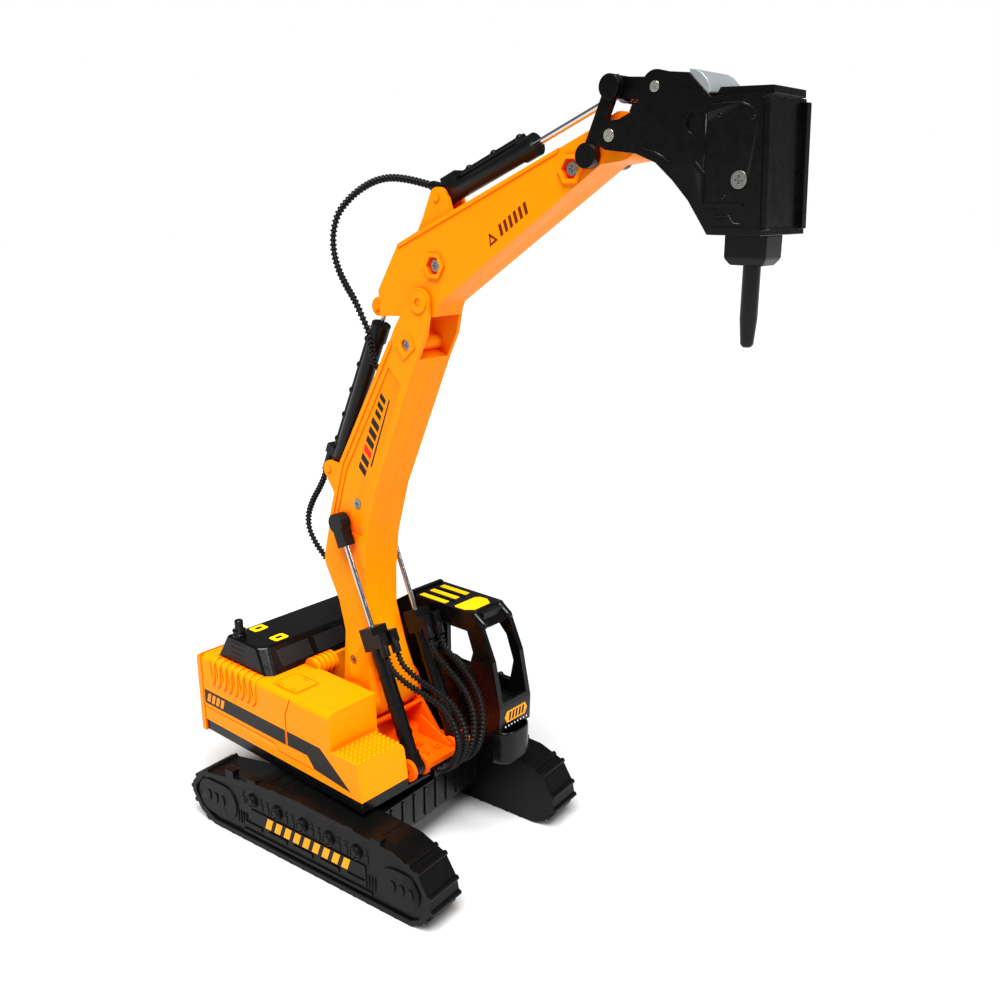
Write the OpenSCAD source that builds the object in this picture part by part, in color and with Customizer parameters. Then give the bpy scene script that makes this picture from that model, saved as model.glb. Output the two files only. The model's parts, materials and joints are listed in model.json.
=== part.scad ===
// Toy crawler excavator with a breaker hammer.
// Millimetres. +X is the way the boom points, +Y is the cab side, +Z is up.
// The origin is on the slew axis, at floor level. The undercarriage is parked
// at a small angle under the upper structure, as the toy stands on a shelf.

/* [Undercarriage] */
// Width over both tracks
track_width = 100; // [98:0.5:104]
// Width of one track
track_shoe = 17; // [16:0.5:18]
// Angle of the undercarriage about the slew axis
park_angle = 4.85; // [0:0.05:10]
// Radius of the hidden running wheels
wheel_r = 6; // [5.6:0.1:6]

/* [Upper structure] */
// Half width of the body
body_half = 41; // [40.8:0.1:42]
// Height of the engine deck
deck_top = 70.5; // [68:0.5:72]
// Wall of the moulded shells
wall = 2; // [1.6:0.1:2.4]

/* [Boom and arm] */
// Sideways place of the boom's middle plane
boom_y = 2.5; // [2:0.1:3]
// Half width of the boom
boom_half = 9.1; // [9:0.1:9.4]
// Half width of the arm
arm_half = 7.1; // [6.8:0.1:7.1]
// Half width of the breaker
breaker_half = 12.75; // [12.5:0.05:13]

/* [Cylinders] */
// Sideways distance of each boom cylinder from the boom's middle plane
boom_cyl_offset = 12.5; // [12.5:0.1:12.8]
// Radius of the cylinder barrels
barrel_r = 3; // [2.8:0.1:3.1]
// Radius of the chromed rods
rod_r = 1.1; // [0.9:0.1:1.2]

/* [Hoses] */
// Diameter of the hoses
hose_d = 2.6; // [2.2:0.1:2.8]

/* [Hidden] */
$fn = 48;
fit = 0.08;      // radial play of a running pin
gap = 0.3;       // gap between moving faces
eps = 0.01;

// Undercarriage
track_out = track_width / 2;
track_in = track_out - track_shoe;
track_side = [[-55, 0.4], [58.5, 0.4], [63.5, 2.8], [68.5, 10], [67.4, 16], [62, 24.6], [50, 29.2],
              [34, 30.3], [17, 31.4], [0, 31.8], [-28, 30.3], [-50, 26.4], [-61.5, 24.4], [-68, 17],
              [-68.5, 12], [-63.5, 4.5]];
panel_side = inset(track_side, 2.4);
guard_r = 8;         // end guards of the roller panel, each drawn round two centres
guard_ends = [[-56.6, -48], [50, 54.5]];
oval_x = [-53.5, 53.5];
shoe_ridges = [[-59.5, 2.3], [-66.6, 8.2], [-68.4, 14.5], [-64.8, 20.7], [-58, 25],
               [57.5, 26.4], [62, 24.6], [67.4, 16], [68.5, 10], [65.5, 5.6]];
wheel_x = 40;
wheel_mid = track_out - 9;
wheel_half = 3;
wheel_pin_r = 1;
chassis_side = [[-24, 8], [24, 8], [30, 14], [30, 29], [-30, 29], [-30, 14]];
chassis_plate = 24;   // underside of the chassis's top plate
spigot_r = 8;

// Upper structure
base_z = 33.5;
base_top = 38.7;
base_front = 32.4;
tail_x = -78.4;
well_right = -16;
well_left = 21;
hood_x = 15;
step_z = 54.5;
hinge = [-2, 60];
hinge_r = 2.5;
foot_half = 13;
cheek_in = foot_half + gap;
cheek_out = cheek_in + 2.5;
cyl_foot = [30.5, 40];
cab_side = [[-11, 38.9], [32.6, 38.9], [32.6, 33.7], [46, 33.7], [46, 48.8], [49.7, 48.8], [50, 60],
            [45.8, 80], [39.5, 94], [34, 99], [-2, 99], [-11, 93.5]];
cab_window = [[3, 77], [24, 77], [33, 74], [35.5, 82], [32, 91], [3, 91]];
door_window = [[3, 64], [40, 64], [42, 74], [38, 85], [32, 91], [3, 91]];
bumper_mid = [29, 36];
bumper_r = 24;

// Boom, arm and breaker, in the boom's own plane: x forward, z up
boom_lug = [-10, 137];       // boom cylinder's end on the boom
boom_screw_at = [[-3, 145.5], [28.2, 212.5]];
foot_screw_at = [-6.2, 76.4];
arm_cyl_foot = [-24.5, 155.5];
arm_hinge = [35, 228.5];
arm_lug = [9, 225];
tool_cyl_foot = [41, 264.5];
tool_hinge = [118.7, 281.8];
link_hinge = [133.7, 294.1];
rocker_foot = [108.5, 276.5];
rocker_top = [116.6, 295.4];
pin_r = 1.5;
stub_r = 1.6;
eye_pin_r = 1.2;
neck = 5.6;          // where a barrel starts, clear of the lugs round its foot
// The linkages are opened at these eyes: a wide bore, set a little off its pin,
// leaves room for what a constant-ratio coupling can't follow
link_shift = [-0.28, -0.27];
link_bore_r = 2.4;
arm_eye_shift = [-0.99, 0.47];
arm_eye_r = 2.6;
tool_eye_shift = [-0.17, -0.42];
tool_eye_r = 2.45;

function arc(c, r, a0, a1, n) = [for (i = [0:n]) let (a = a0 + (a1 - a0) * i / n)
    [c[0] + r * cos(a), c[1] + r * sin(a)]];
boom_side = concat(
    arc(hinge, 10, 180, 360, 16),
    [[8, 69], [4, 83], [-0.5, 98], [0, 114], [2.2, 131.5], [8.9, 153.5], [31.9, 204], [33.5, 207.5]],
    [[26, 211], [24.8, 219.4], [22.8, 219.4], [19.4, 213.3], [-11.6, 162], [-20, 136]],
    arc([-16.5, 117.5], 8.3, 165, 215, 5),
    [[-16.5, 100], [-13, 86], [-12.5, 74]]);
ear_side = concat(
    [[19.4, 213.3], [33.5, 207.5], [38.2, 216.5], [40, 225]],
    arc(arm_hinge, 5, -20, 140, 12), [[27.6, 226], [21.8, 218]]);
arm_side = concat(
    [[12.5, 222], [41, 223.5], [43, 228.2], [96.8, 263.9], [112, 274]],
    arc(tool_hinge, 7, -80, 100, 14), [[107.8, 284], [88.6, 276], [51.6, 260.6], [32, 252.4], [23, 248.4],
    [12, 231.5]]);
breaker_side = concat(
    arc(tool_hinge, 4.2, 190, 255, 6),
    [[128, 276.5], [134.7, 273.9], [140.6, 269], [146, 263.5], [152.4, 254.5], [168.5, 254.5],
        [167, 290.5], [151.4, 290.5], [144.5, 297], [138, 297.7]],
    arc(link_hinge, 4.5, 80, 190, 8), [[127.5, 288.5], [121.5, 286]], arc(tool_hinge, 4.2, 80, 170, 6));
breaker_core = [[142, 268], [146, 263.5], [152.4, 254.5], [168.5, 254.5], [167, 290.5], [151.4, 290.5],
                [144.5, 296], [142, 292]];
chisel_x = 160.4;

// Hose routes, x y z, chosen by hand
route_right_outer = [[19, -13, 86.7], [22, -12.5, 81.5], [29, -11, 77], [37, -9.5, 74.5], [44, -8, 71.5],
    [49, -7, 66.5], [51, -6, 60], [50, -4.5, 53], [46.5, -3.5, 46], [41.5, -2, 40], [34.2, -1, 36]];
route_right_inner = [[19, -7, 86.7], [22, -6.5, 81.5], [29, -5, 77], [37, -4, 74.5], [44, -3, 71.5],
    [49, -2.5, 66.5], [51, -1.5, 60], [50, -0.5, 53], [46.5, 0.5, 46], [41.5, 1.5, 40], [34.2, 2.5, 36]];
route_left_inner = [[19, 12, 86.7], [22, 11.5, 81.5], [28, 11, 77.5], [35, 10, 74.5], [41, 9.5, 70.5],
    [45.5, 8.5, 65.5], [47.5, 8, 59], [47.5, 7, 52.5], [45.5, 6.5, 46], [41, 6, 40], [34.2, 5.8, 36]];
route_left_outer = [[19, 18, 86.7], [22, 17.5, 81.5], [29, 16.5, 78.5], [36.5, 15, 75.5], [42.5, 14, 71],
    [46.5, 13, 65.5], [48.5, 12, 59], [48.5, 11, 52.5], [46.5, 10.5, 46], [41.5, 9.6, 40], [34.2, 8.8, 36]];
route_arm = [[-32, 2.5, 153.2], [-34, 2.5, 149], [-37.5, 2.5, 143.8], [-42, 2.5, 137.8], [-45.5, 2.5, 131],
    [-45.8, 2.5, 124.5], [-42.5, 2.5, 118.8], [-37.5, 2.5, 114.4], [-32, 2.5, 110.6], [-26, 2.5, 107],
    [-20.5, 2.5, 104.2], [-16.5, 2.5, 102.4]];
route_tool = [[34.5, 2.5, 268.5], [28.5, 2.3, 269.8], [21.5, 1.8, 271], [14, 1.2, 271.5], [7, 0.5, 270.5],
    [0, 0, 268], [-6.5, -1, 264], [-12, -2, 258.5], [-14, -3, 251.5], [-13, -4, 244.5], [-9.5, -5, 238],
    [-4.5, -6, 232.5], [1, -7, 227.5], [5, -7, 221.5], [7, -5.5, 215], [6.5, -4, 208.5], [7.5, -3, 202.5],
    [12.6, -2.5, 199]];

// ---- helpers ----
// A flat outline in x and z, thick along y
module slab(y0, y1) translate([0, y1, 0]) rotate([90, 0, 0]) linear_extrude(y1 - y0) children();
// A round bar along y
module ybar(p, r, y0, y1) translate([p[0], y1, p[1]]) rotate([90, 0, 0]) cylinder(r = r, h = y1 - y0);
module block(a, b) translate(a) cube(b - a);
// Local z runs from p to q, local x points forward
module along(p, q) translate([p[0], 0, p[1]]) rotate([0, atan2(q[0] - p[0], q[1] - p[1]), 0]) children();
module parked() rotate([0, 0, park_angle]) children();
module in_boom_plane() translate([0, boom_y, 0]) children();

function unit(v) = v / norm(v);
// An outline moved inwards by d; the outline runs anticlockwise
function inset(p, d) = [for (i = [0:len(p) - 1])
    let (a = p[(i + len(p) - 1) % len(p)], b = p[i], c = p[(i + 1) % len(p)],
         u = unit(b - a), v = unit(c - b), m = [-u[1], u[0]], n = [-v[1], v[0]])
    b + d * (m + n) / (1 + m * n)];

// One screw head with a cross recess, its axis along y, head face towards -y
module screw(p, y, r = 2.4, l = 6) {
    difference() {
        ybar(p, r, y - 1.2, y);
        for (a = [0, 90]) translate([p[0], y - 1.2, p[1]]) rotate([0, a, 0])
            cube([r * 1.1, 1, 0.5], center = true);
    }
    ybar(p, 1.1, y, y + l);
}

// A swept tube: rings of points square to the route, joined by quads
function side_dir(t) = unit(cross(t, abs(t[1]) < 0.9 ? [0, 1, 0] : [1, 0, 0]));
function ring(c, t, r, n) = let (s = side_dir(t), w = cross(t, s))
    [for (k = [0:n - 1]) c + r * (cos(360 * k / n) * s + sin(360 * k / n) * w)];
module tube(route, d, n = 8) {
    last = len(route) - 1;
    tangent = [for (i = [0:last]) unit(route[min(i + 1, last)] - route[max(i - 1, 0)])];
    points = [for (i = [0:last]) each ring(route[i], tangent[i], d / 2, n)];
    faces = concat([[for (k = [0:n - 1]) k]],
        [for (i = [0:last - 1]) for (k = [0:n - 1])
            [i * n + k, (i + 1) * n + k, (i + 1) * n + (k + 1) % n, i * n + (k + 1) % n]],
        [[for (k = [n - 1:-1:0]) last * n + k]]);
    polyhedron(points = points, faces = faces, convexity = 6);
}

// ---- undercarriage ----
module chassis() color("#151515") parked() difference() {
    union() {
        slab(-track_in, track_in) polygon(chassis_side);
        for (i = [-4:4]) block([30 - eps, i * 7 - 0.6, 15], [30.6, i * 7 + 0.6, 28]);
        translate([0, 0, 29 - eps]) cylinder(r = 22, h = base_z - gap - 29 + eps);
    }
    block([-21, -track_in + 4, 0], [21, track_in - 4, chassis_plate]);
    cylinder(r = spigot_r + fit, h = 60);
    for (x = [-16, 16]) ybar([x, 12.2], 1.2, -track_in - 1, track_in + 1);
}

module track(s) color("#101010") parked() scale([1, s, 1]) difference() {
    union() {
        slab(track_in, track_out) polygon(track_side);
        for (p = shoe_ridges) ybar(p, 1.1, track_in, track_out);
        for (i = [-7:7]) block([i * 7.2 - 0.9, track_in, 0.1], [i * 7.2 + 0.9, track_out, 0.6]);
        for (x = [-45, -31, -17, -3, 11, 25, 39]) block([x, track_out - 3.4, 27], [x + 5, track_out, 31.4]);
    }
    slab(track_out - 2, track_out + 1) polygon(panel_side);
    for (x = [-wheel_x, wheel_x]) {
        block([x - wheel_r - 0.8, wheel_mid - wheel_half - 0.5, -1],
              [x + wheel_r + 0.8, wheel_mid + wheel_half + 0.5, 2 * wheel_r + 1]);
        ybar([x, wheel_r], wheel_pin_r, track_in + 1.5, track_out - 1);
    }
    for (x = [-16, 16]) ybar([x, 12.2], 1.2, track_in - 1, track_in + 3);
}
module track_right() track(-1);
module track_left() track(1);

// The outer side of a track: an end guard with three ovals at each end, five rollers between them
module roller_panel(s) color("#181818") parked() scale([1, s, 1]) difference() {
    union() {
        slab(track_out - 2, track_out - 1.1) polygon(panel_side);
        for (e = guard_ends) slab(track_out - 1.2, track_out - 0.4) polygon(concat(
            arc([e[0], 13.5], guard_r, 90, 270, 12),
            arc([e[1], 13.5], guard_r, -90, 90, 12)));
        for (x = oval_x, k = [-1:1]) translate([x + k * 4.4, 0, 13.5]) scale([1, 1, 1.6])
            ybar([0, 0], 1.6, track_out - 0.5, track_out + 0.1);
        for (i = [-2:2]) {
            ybar([i * 15, 20.5], 3.1, track_out - 1.2, track_out - 0.2);
            block([i * 15 - 5.4, track_out - 1.2, 7.4], [i * 15 + 5.4, track_out - 0.5, 9.4]);
        }
        block([-31, track_out - 1.2, 10.4], [35, track_out - 0.6, 16.4]);
        block([-36, track_out - 1.2, 4.2], [38, track_out - 0.5, 5.6]);
    }
    for (x = [-wheel_x, wheel_x]) ybar([x, wheel_r], wheel_pin_r + 0.3, track_out - 3, track_out - 1.6);
}
module roller_panel_right() roller_panel(-1);
module roller_panel_left() roller_panel(1);

module wheel(x, s) color("#1c1c1c") parked() scale([1, s, 1]) difference() {
    ybar([x, wheel_r], wheel_r, wheel_mid - wheel_half, wheel_mid + wheel_half);
    ybar([x, wheel_r], wheel_pin_r + fit, wheel_mid - 9, wheel_mid + 9);
}
module wheel_front_right() wheel(wheel_x, -1);
module wheel_front_left() wheel(wheel_x, 1);
module wheel_rear_right() wheel(-wheel_x, -1);
module wheel_rear_left() wheel(-wheel_x, 1);
module wheel_pins() color("#9a9a9a") parked() for (x = [-wheel_x, wheel_x], s = [-1, 1])
    scale([1, s, 1]) ybar([x, wheel_r], wheel_pin_r, track_in + 1.5, track_out - 2);

module chassis_screws() color("#8c8c8c") parked() for (x = [-16, 16], s = [-1, 1]) scale([1, s, 1]) {
    ybar([x, 12.2], 1.2, track_in - 4 - eps, track_in + 3);
    ybar([x, 12.2], 2.3, track_in - 5.2, track_in - 4);
}
module slew_screw() color("#8c8c8c") {
    translate([0, 0, 22.2]) cylinder(r = 11, h = chassis_plate - gap - 22.2);
    translate([0, 0, 20.4]) cylinder(r = 3, h = 1.8 + eps);
    cylinder_z(1.5, 22.2, 31);
}
module cylinder_z(r, z0, z1) translate([0, 0, z0]) cylinder(r = r, h = z1 - z0);

// ---- upper structure ----
module turntable_base() color("#1a1a1a") difference() {
    union() {
        block([-72, -body_half + 0.5, base_z], [base_front, body_half - 0.5, base_top]);
        cylinder_z(spigot_r, chassis_plate - gap, base_z + eps);
    }
    cylinder_z(1.5, 20, 31);
    block([25, -15.6, 35.2], [base_front + 1, 20.6, base_top + 1]);
    block([-68, -37, 35.6], [-30, 37, base_top + 1]);
    block([-24, -37, 35.6], [24, -19, base_top + 1]);
    for (p = [[-50, -35.88], [-50, 35.88], [10, -35.88]]) translate([p[0], p[1], 0])
        cylinder_z(1.1, base_z - 1, 50);
}

// Cutter that rounds an edge running along x; s is the side it faces
module edge_cut(x0, x1, y, z, r, s) difference() {
    block([x0, min(y, y - s * r) - (s < 0 ? 1 : 0), z - r], [x1, max(y, y - s * r) + (s > 0 ? 1 : 0),
        z + 1]);
    translate([x0 - 1, y - s * r, z - r]) rotate([0, 90, 0]) cylinder(r = r, h = x1 - x0 + 2);
}
module body_shell() color("#ff9a00") difference() {
    union() {
        slab(-body_half, well_right) polygon([[-72, base_top], [32.7, base_top], [30.4, step_z],
            [hood_x, step_z], [hood_x - 0.4, deck_top], [-72, deck_top]]);
        block([-72, well_right - eps, base_top], [-27, body_half, deck_top]);
        block([-27 - eps, well_left, base_top], [-12, body_half, deck_top]);
        // round muffler lying beside the well, with ribs
        translate([-25, -11, deck_top - 1]) rotate([0, 90, 90]) cylinder(r = 4, h = 12, center = true);
        for (k = [-2:2]) translate([-25, -11 + k * 2.6, deck_top - 1]) rotate([0, 90, 90])
            cylinder(r = 4.5, h = 1, center = true);
        // tread bumps on the step
        for (i = [0:5], j = [0:8]) translate([17 + i * 2.5, -38.8 + j * 2.5, step_z - eps])
            cylinder(r1 = 0.85, r2 = 0.45, h = 0.45, $fn = 16);
        // raised access hatch
        block([-23, -37.8, deck_top - eps], [-9.5, -26, deck_top + 0.4]);
    }
    edge_cut(-73, hood_x + 1, -body_half, deck_top, 3, -1);
    edge_cut(-73, -11, body_half, deck_top, 3, 1);
    edge_cut(hood_x + 0.5, 34, well_right, step_z, 4, 1);
    block([-69.5, -body_half + wall, 30], [hood_x - wall, well_right - wall, deck_top - wall]);
    block([hood_x - wall - 1, -body_half + wall, 30], [28.4, well_right - wall, step_z - wall]);
    block([-69.5, -body_half + wall, 30], [-29, body_half - wall, deck_top - wall]);
    block([-40, well_left + wall, 30], [-14, body_half - wall, deck_top - wall]);
    // seam between the engine bay and the hood
    slab(-body_half - 1, -body_half + 0.5) polygon([[-13.3, base_top + 8], [-12.7, base_top + 8],
        [-12.7, 61],
        [-6.7, 75], [-7.3, 75], [-13.3, 61]]);
    // louvres high on the side
    for (i = [0:7]) translate([-64.5 + i * 4.2, -body_half, 64.5]) rotate([0, -12, 0])
        cube([0.7, 1, 9], center = true);
    // long groove low on the side
    slab(-body_half - 1, -body_half + 0.4) polygon([[-72, 44.8], [-22, 44.8], [-19, 42.1], [4.5, 42.1],
        [4.5, 42.6], [-18.8, 42.6], [-21.8, 45.3], [-72, 45.3]]);
}

module counterweight() color("#ff9a00") difference() {
    intersection() {
        slab(-body_half - 0.4, body_half + 0.4) polygon([[-72, 33], [-77, 33], [tail_x, 34.5],
            [tail_x, 62.5],
            [-74.6, 69.4], [-72, 71]]);
        hull() for (s = [-1, 1]) {
            translate([tail_x + 5, s * (body_half - 4.6), 30]) cylinder(r = 5, h = 45);
            block([-72 - eps, s > 0 ? 0 : -body_half - 0.4, 30], [-72, s > 0 ? body_half + 0.4 : 0, 75]);
        }
    }
    // two wide recessed panels across the back
    for (z = [[38, 47], [50, 60]]) block([tail_x - 1, -30, z[0]], [tail_x + 0.6, 30, z[1]]);
    block([tail_x + wall, -36, 36], [-71, 36, 66]);
}

module engine_cover() color("#121212") hull() {
    cover_outline(deck_top, -65, -29, 36.5, 3);
    cover_outline(80.9, -60, -36, 34.5, 3.5);
}
module cover_outline(z, x0, x1, hy, c) translate([0, 0, z]) linear_extrude(0.1)
    polygon([[x0, -hy], [x1 - c, -hy], [x1, -hy + c], [x1, hy - c], [x1 - c, hy], [x0, hy]]);
module air_cleaner() color("#0e0e0e") translate([-55, -31.5, 81]) rotate_extrude() polygon([[0, 0], [3, 0],
    [3, 1.2], [2.6, 1.4], [2.6, 2], [3, 2.2], [3, 3], [1.9, 3.4], [1.9, 4.4], [1.7, 4.6], [1.9, 4.8],
        [1.9, 7],
    [1.5, 7.5], [0, 7.5]]);

module cylinder_ears(yc) for (s = [-1, 1]) difference() {
    y0 = yc + (s < 0 ? -4.6 : 2.8);
    union() {
        ybar(cyl_foot, 4.6, y0, y0 + 1.8);
        block([22, y0, base_top], [cyl_foot[0], y0 + 1.8, 43.5]);
    }
    block([20, y0 - 1, 30], [base_front + 0.1, y0 + 3, 35.3]);
    ybar(cyl_foot, 1.2, y0 - 1, y0 + 3);
}
module boom_seat() color("#ff6a00") in_boom_plane() {
    difference() {
        union() {
            block([-26.5, -cheek_out, base_top], [24.9, cheek_out, 41]);
            block([25.1, -7.9, 35.3], [base_front, 7.9, 41]);
            block([24.8, -7.9, base_top], [25.2, 7.9, 41]);
            block([base_front - eps, -7.9, base_top], [34.5, 7.9, 41]);
            for (s = [-1, 1]) scale([1, s, 1]) {
                slab(cheek_in, cheek_out) polygon(concat([[-16, base_top], [19.5, base_top], [7.5, 52.5]],
                    arc(hinge, 8, -10, 190, 14), [[-14, 50]]));
                slab(7.2, 8) polygon([[12, 41 - eps], [32, 41 - eps], [32, 42.4], [14, 50]]);
            }
            // curved apron in front of the boom foot
            difference() {
                ybar(hinge, 13.4, -cheek_in - eps, cheek_in + eps);
                ybar(hinge, 11.4, -20, 20);
                block([-40, -20, 53], [40, 20, 90]);
                block([-40, -20, 30], [-2, 20, 90]);
            }
            for (p = [[20, 0], [27.5, -4], [27.5, 4]]) translate([p[0], p[1],
                0]) cylinder_z(1.8, 40.9, 41.9);
        }
        ybar(hinge, hinge_r, -cheek_out - 1, cheek_out + 1);
        for (p = [[20, 0], [27.5, -4], [27.5, 4]]) translate([p[0], p[1], 0]) cylinder_z(0.8, 41.2, 43);
    }
    for (s = [-1, 1]) cylinder_ears(s * boom_cyl_offset);
}
module boom_pin() color("#2a2a2a") in_boom_plane() ybar(hinge, hinge_r, -cheek_out, cheek_out);
module cylinder_foot_pins() color("#9a9a9a") in_boom_plane() for (s = [-1, 1])
    ybar(cyl_foot, 1.2, s * boom_cyl_offset - 4.6, s * boom_cyl_offset + 4.6);
module body_screws() color("#8c8c8c") for (p = [[-50, -39], [-50, 39], [10, -39]])
    translate([p[0], p[1] * 0.92, 0]) {
        cylinder_z(2.2, base_z - 1.2, base_z);
        cylinder_z(1.1, base_z - eps, 44);
    }
module hose_manifold() color("#141414") difference() {
    block([base_front, -3.2, 33.7], [35, 10.3, 38.5]);
    for (y = [0.75, 4.15, 7.3]) block([34.2, y - 0.3, 33], [36, y + 0.3, 39]);
}

module cab_shell() color("#0f0f0f") difference() {
    union() {
        slab(well_left, body_half) polygon(cab_side);
        // lamps on the roof's front edge and the header bar between them
        for (y = [23.3, 38.7]) hull() {
            translate([34.5, y, 97.5]) sphere(r = 2, $fn = 24);
            translate([39, y, 94.5]) sphere(r = 2, $fn = 24);
        }
        block([34, 25, 96], [37.6, 37, 98.6]);
        // rear edge rail of the roof
        block([-2.6, well_left + 0.5, 98.5], [-0.6, body_half - 0.5, 99.9]);
    }
    slab(well_left + wall, body_half - wall) polygon(inset(cab_side, wall));
    // side windows and the windscreen
    slab(well_left - 1, well_left + wall + 1) polygon(cab_window);
    slab(body_half - wall - 1, body_half + 1) polygon(door_window);
    slab(well_left + 2.4, body_half - 2.4) polygon([[38, 93.2], [60, 93.2], [60, 62], [44, 62]]);
    // door and panel grooves
    slab(well_left - 1, well_left + 0.4)
        polygon([[36, 72], [37, 72], [42, 50], [42, 42], [41.2, 42], [41.2, 50]]);
    slab(well_left - 1, well_left + 0.4) polygon([[-1, 72], [-0.2, 72], [-0.2, 42], [-1, 42]]);
    block([-12, 25, 60], [-8, 37, 90]);
}
module cab_seat() color("#202020") {
    block([-5, 25.5, 40.9], [12, 36.5, 50]);
    block([-5, 25.5, 49.9], [0, 36.5, 72]);
    block([-4.6, 28, 71.9], [-1, 34, 77]);
    block([0, 24.2, 55], [10, 25.4, 57]);
    block([0, 36.6, 55], [10, 37.8, 57]);
    block([2, 24.2, 45], [5, 25.51, 56]);
    block([2, 36.49, 45], [5, 37.8, 56]);
}
module cab_console() color("#242424") {
    block([30, 25, 40.9], [43.5, 37, 55]);
    slab(25, 37) polygon([[30, 55 - eps], [43.5, 55 - eps], [44.5, 60], [36, 60]]);
    // steering wheel on its column
    translate([36, 31, 59.5]) rotate([0, -35, 0]) {
        cylinder(r = 0.9, h = 7);
        translate([0, 0, 7]) rotate_extrude() translate([4.2, 0]) circle(r = 0.7, $fn = 16);
        for (a = [0, 120, 240]) rotate([0, 0, a]) translate([0, -0.5, 6.6]) cube([4.2, 1, 0.8]);
    }
    for (y = [26.5, 35.5]) {
        translate([38, y, 59.8]) cylinder(r = 0.6, h = 7);
        translate([38, y, 67.4]) sphere(r = 1.3, $fn = 24);
    }
}
module cab_bumper() color("#161616") difference() {
    intersection() {
        translate([bumper_mid[0], bumper_mid[1], base_z]) cylinder(r = bumper_r, h = 15, $fn = 96);
        block([46, well_left, 33], [60, body_half, 60]);
    }
    difference() {
        translate([bumper_mid[0], bumper_mid[1], 40]) cylinder(r = bumper_r - 1.4, h = 15, $fn = 96);
        block([40, well_left - 1, 30], [60, well_left + 1.4, 60]);
        block([40, body_half - 1.4, 30], [60, body_half + 1, 60]);
    }
}

// ---- boom ----
module boom_solid() {
    slab(0, boom_half) polygon(boom_side);
    slab(arm_half + gap, boom_half) polygon(ear_side);
    // screw boss and rib across the pocket between the ears
    ybar(boom_screw_at[1], 2.8, 0, boom_half - 0.5);
    slab(0, arm_half + 1) polygon([[24.5, 218], [24.5, 215], [28, 213], [29, 214]]);
    // wide foot
    hull() {
        ybar(hinge, 9.6, boom_half - 0.5, foot_half);
        block([-13, boom_half - 1, 88], [1, boom_half - eps, 90]);
    }
    // boss and stub for the boom cylinder's end
    ybar(boom_lug, 4.4, boom_half - eps, boom_half + 0.6);
    ybar(boom_lug, stub_r, boom_half, boom_half + 2.4);
    // lug plates of the arm cylinder and their half of its pin
    slab(2.6, 4.6) polygon(concat([[-14.6, 157.8], [-22, 145.5]], arc(arm_cyl_foot, 3.8, 235, 90, 8)));
    ybar(arm_cyl_foot, eye_pin_r, 0, 5.2);
    // raised triangle on the ear and its pin hub
    ybar(arm_hinge, 4, boom_half - eps, boom_half + 0.5);
    slab(boom_half - eps, boom_half + 0.45) polygon([[22.4, 212.6], [27, 206.8], [33.2, 212],
        [29.6, 217.6]]);
    // rim along the back edge
    slab(boom_half - eps, boom_half + 0.5) polygon([[-20, 136], [-18.2, 135.6], [-9.9, 161.2], [20.8, 212],
        [19.4, 213.3], [-11.6, 162]]);
}
module boom_half_shell(s) color("#ff8a00") in_boom_plane() scale([1, s, 1]) difference() {
    boom_solid();
    // hollow inside, open at the parting plane
    slab(-1, boom_half - wall) polygon(inset([[6, 74], [2, 84], [-0.5, 98], [0, 114], [2.2, 131.5],
        [8.9, 153.5], [28, 196], [17, 203], [-11.6, 162], [-20, 136], [-24.5, 118], [-16.5, 100], [-12, 84],
        [-11, 74]], wall));
    ybar(hinge, hinge_r + fit, -1, 20);
    ybar(arm_hinge, pin_r, 0, boom_half + 1);
    // screw wells
    for (p = boom_screw_at) {
        ybar(p, 2.2, boom_half - 1.5, boom_half + 2);
        ybar(p, 1.1, -1, boom_half);
    }
    ybar(foot_screw_at, 2.2, boom_half + 0.9, boom_half + 6);
    ybar(foot_screw_at, 1.1, -1, boom_half + 1);
    // recessed side panel
    slab(boom_half - 0.5, boom_half + 1) polygon(inset([[-12, 130], [1, 130], [8.4, 154.2], [27, 197.5],
        [18, 207], [-10.5, 160], [-18.5, 136]], 2.2));
}
module boom_right() boom_half_shell(-1);
module boom_left() boom_half_shell(1);
module boom_screws() color("#8c8c8c") in_boom_plane() {
    for (p = boom_screw_at) screw(p, -boom_half + 1.5, 2.1, 9);
    screw(foot_screw_at, -boom_half - 0.9, 2.1, 9);
}
module arm_pin() color("#ff8a00") in_boom_plane() ybar(arm_hinge, pin_r, -boom_half, boom_half);

// ---- arm ----
module arm_solid() {
    slab(0, arm_half) polygon(arm_side);
    // lugs of the arm cylinder's eye and their half of its pin
    slab(2.6, 4.6) polygon(concat([[16, 222], [22, 234]], arc(arm_lug, 3.6, 90, 270, 10)));
    ybar(arm_lug, eye_pin_r, 0, 5.2);
    // lugs of the tool cylinder's foot
    slab(2.6, 4.8) polygon(concat([[47.5, 258.6], [45.5, 264.5]], arc(tool_cyl_foot, 3.6, 20, 160, 8),
        [[34, 258], [30, 251]]));
    ybar(tool_cyl_foot, eye_pin_r, 0, 5.4);
    // stud that the rocker turns on
    ybar(rocker_foot, pin_r, arm_half - eps, rocker_out);
    // six-sided screw bosses
    for (p = [[41.5, 241.5], [101, 273]]) translate([p[0], arm_half - eps, p[1]]) rotate([-90, 0, 0])
        cylinder(r = 5, h = 0.9, $fn = 6);
    // rim along the top edge
    slab(arm_half - eps, arm_half + 0.4) polygon([[24, 247.4], [32.4, 251], [52, 259.2], [96, 278],
        [96, 279.2],
        [51.6, 260.6], [32, 252.4], [23, 248.4]]);
}
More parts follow.
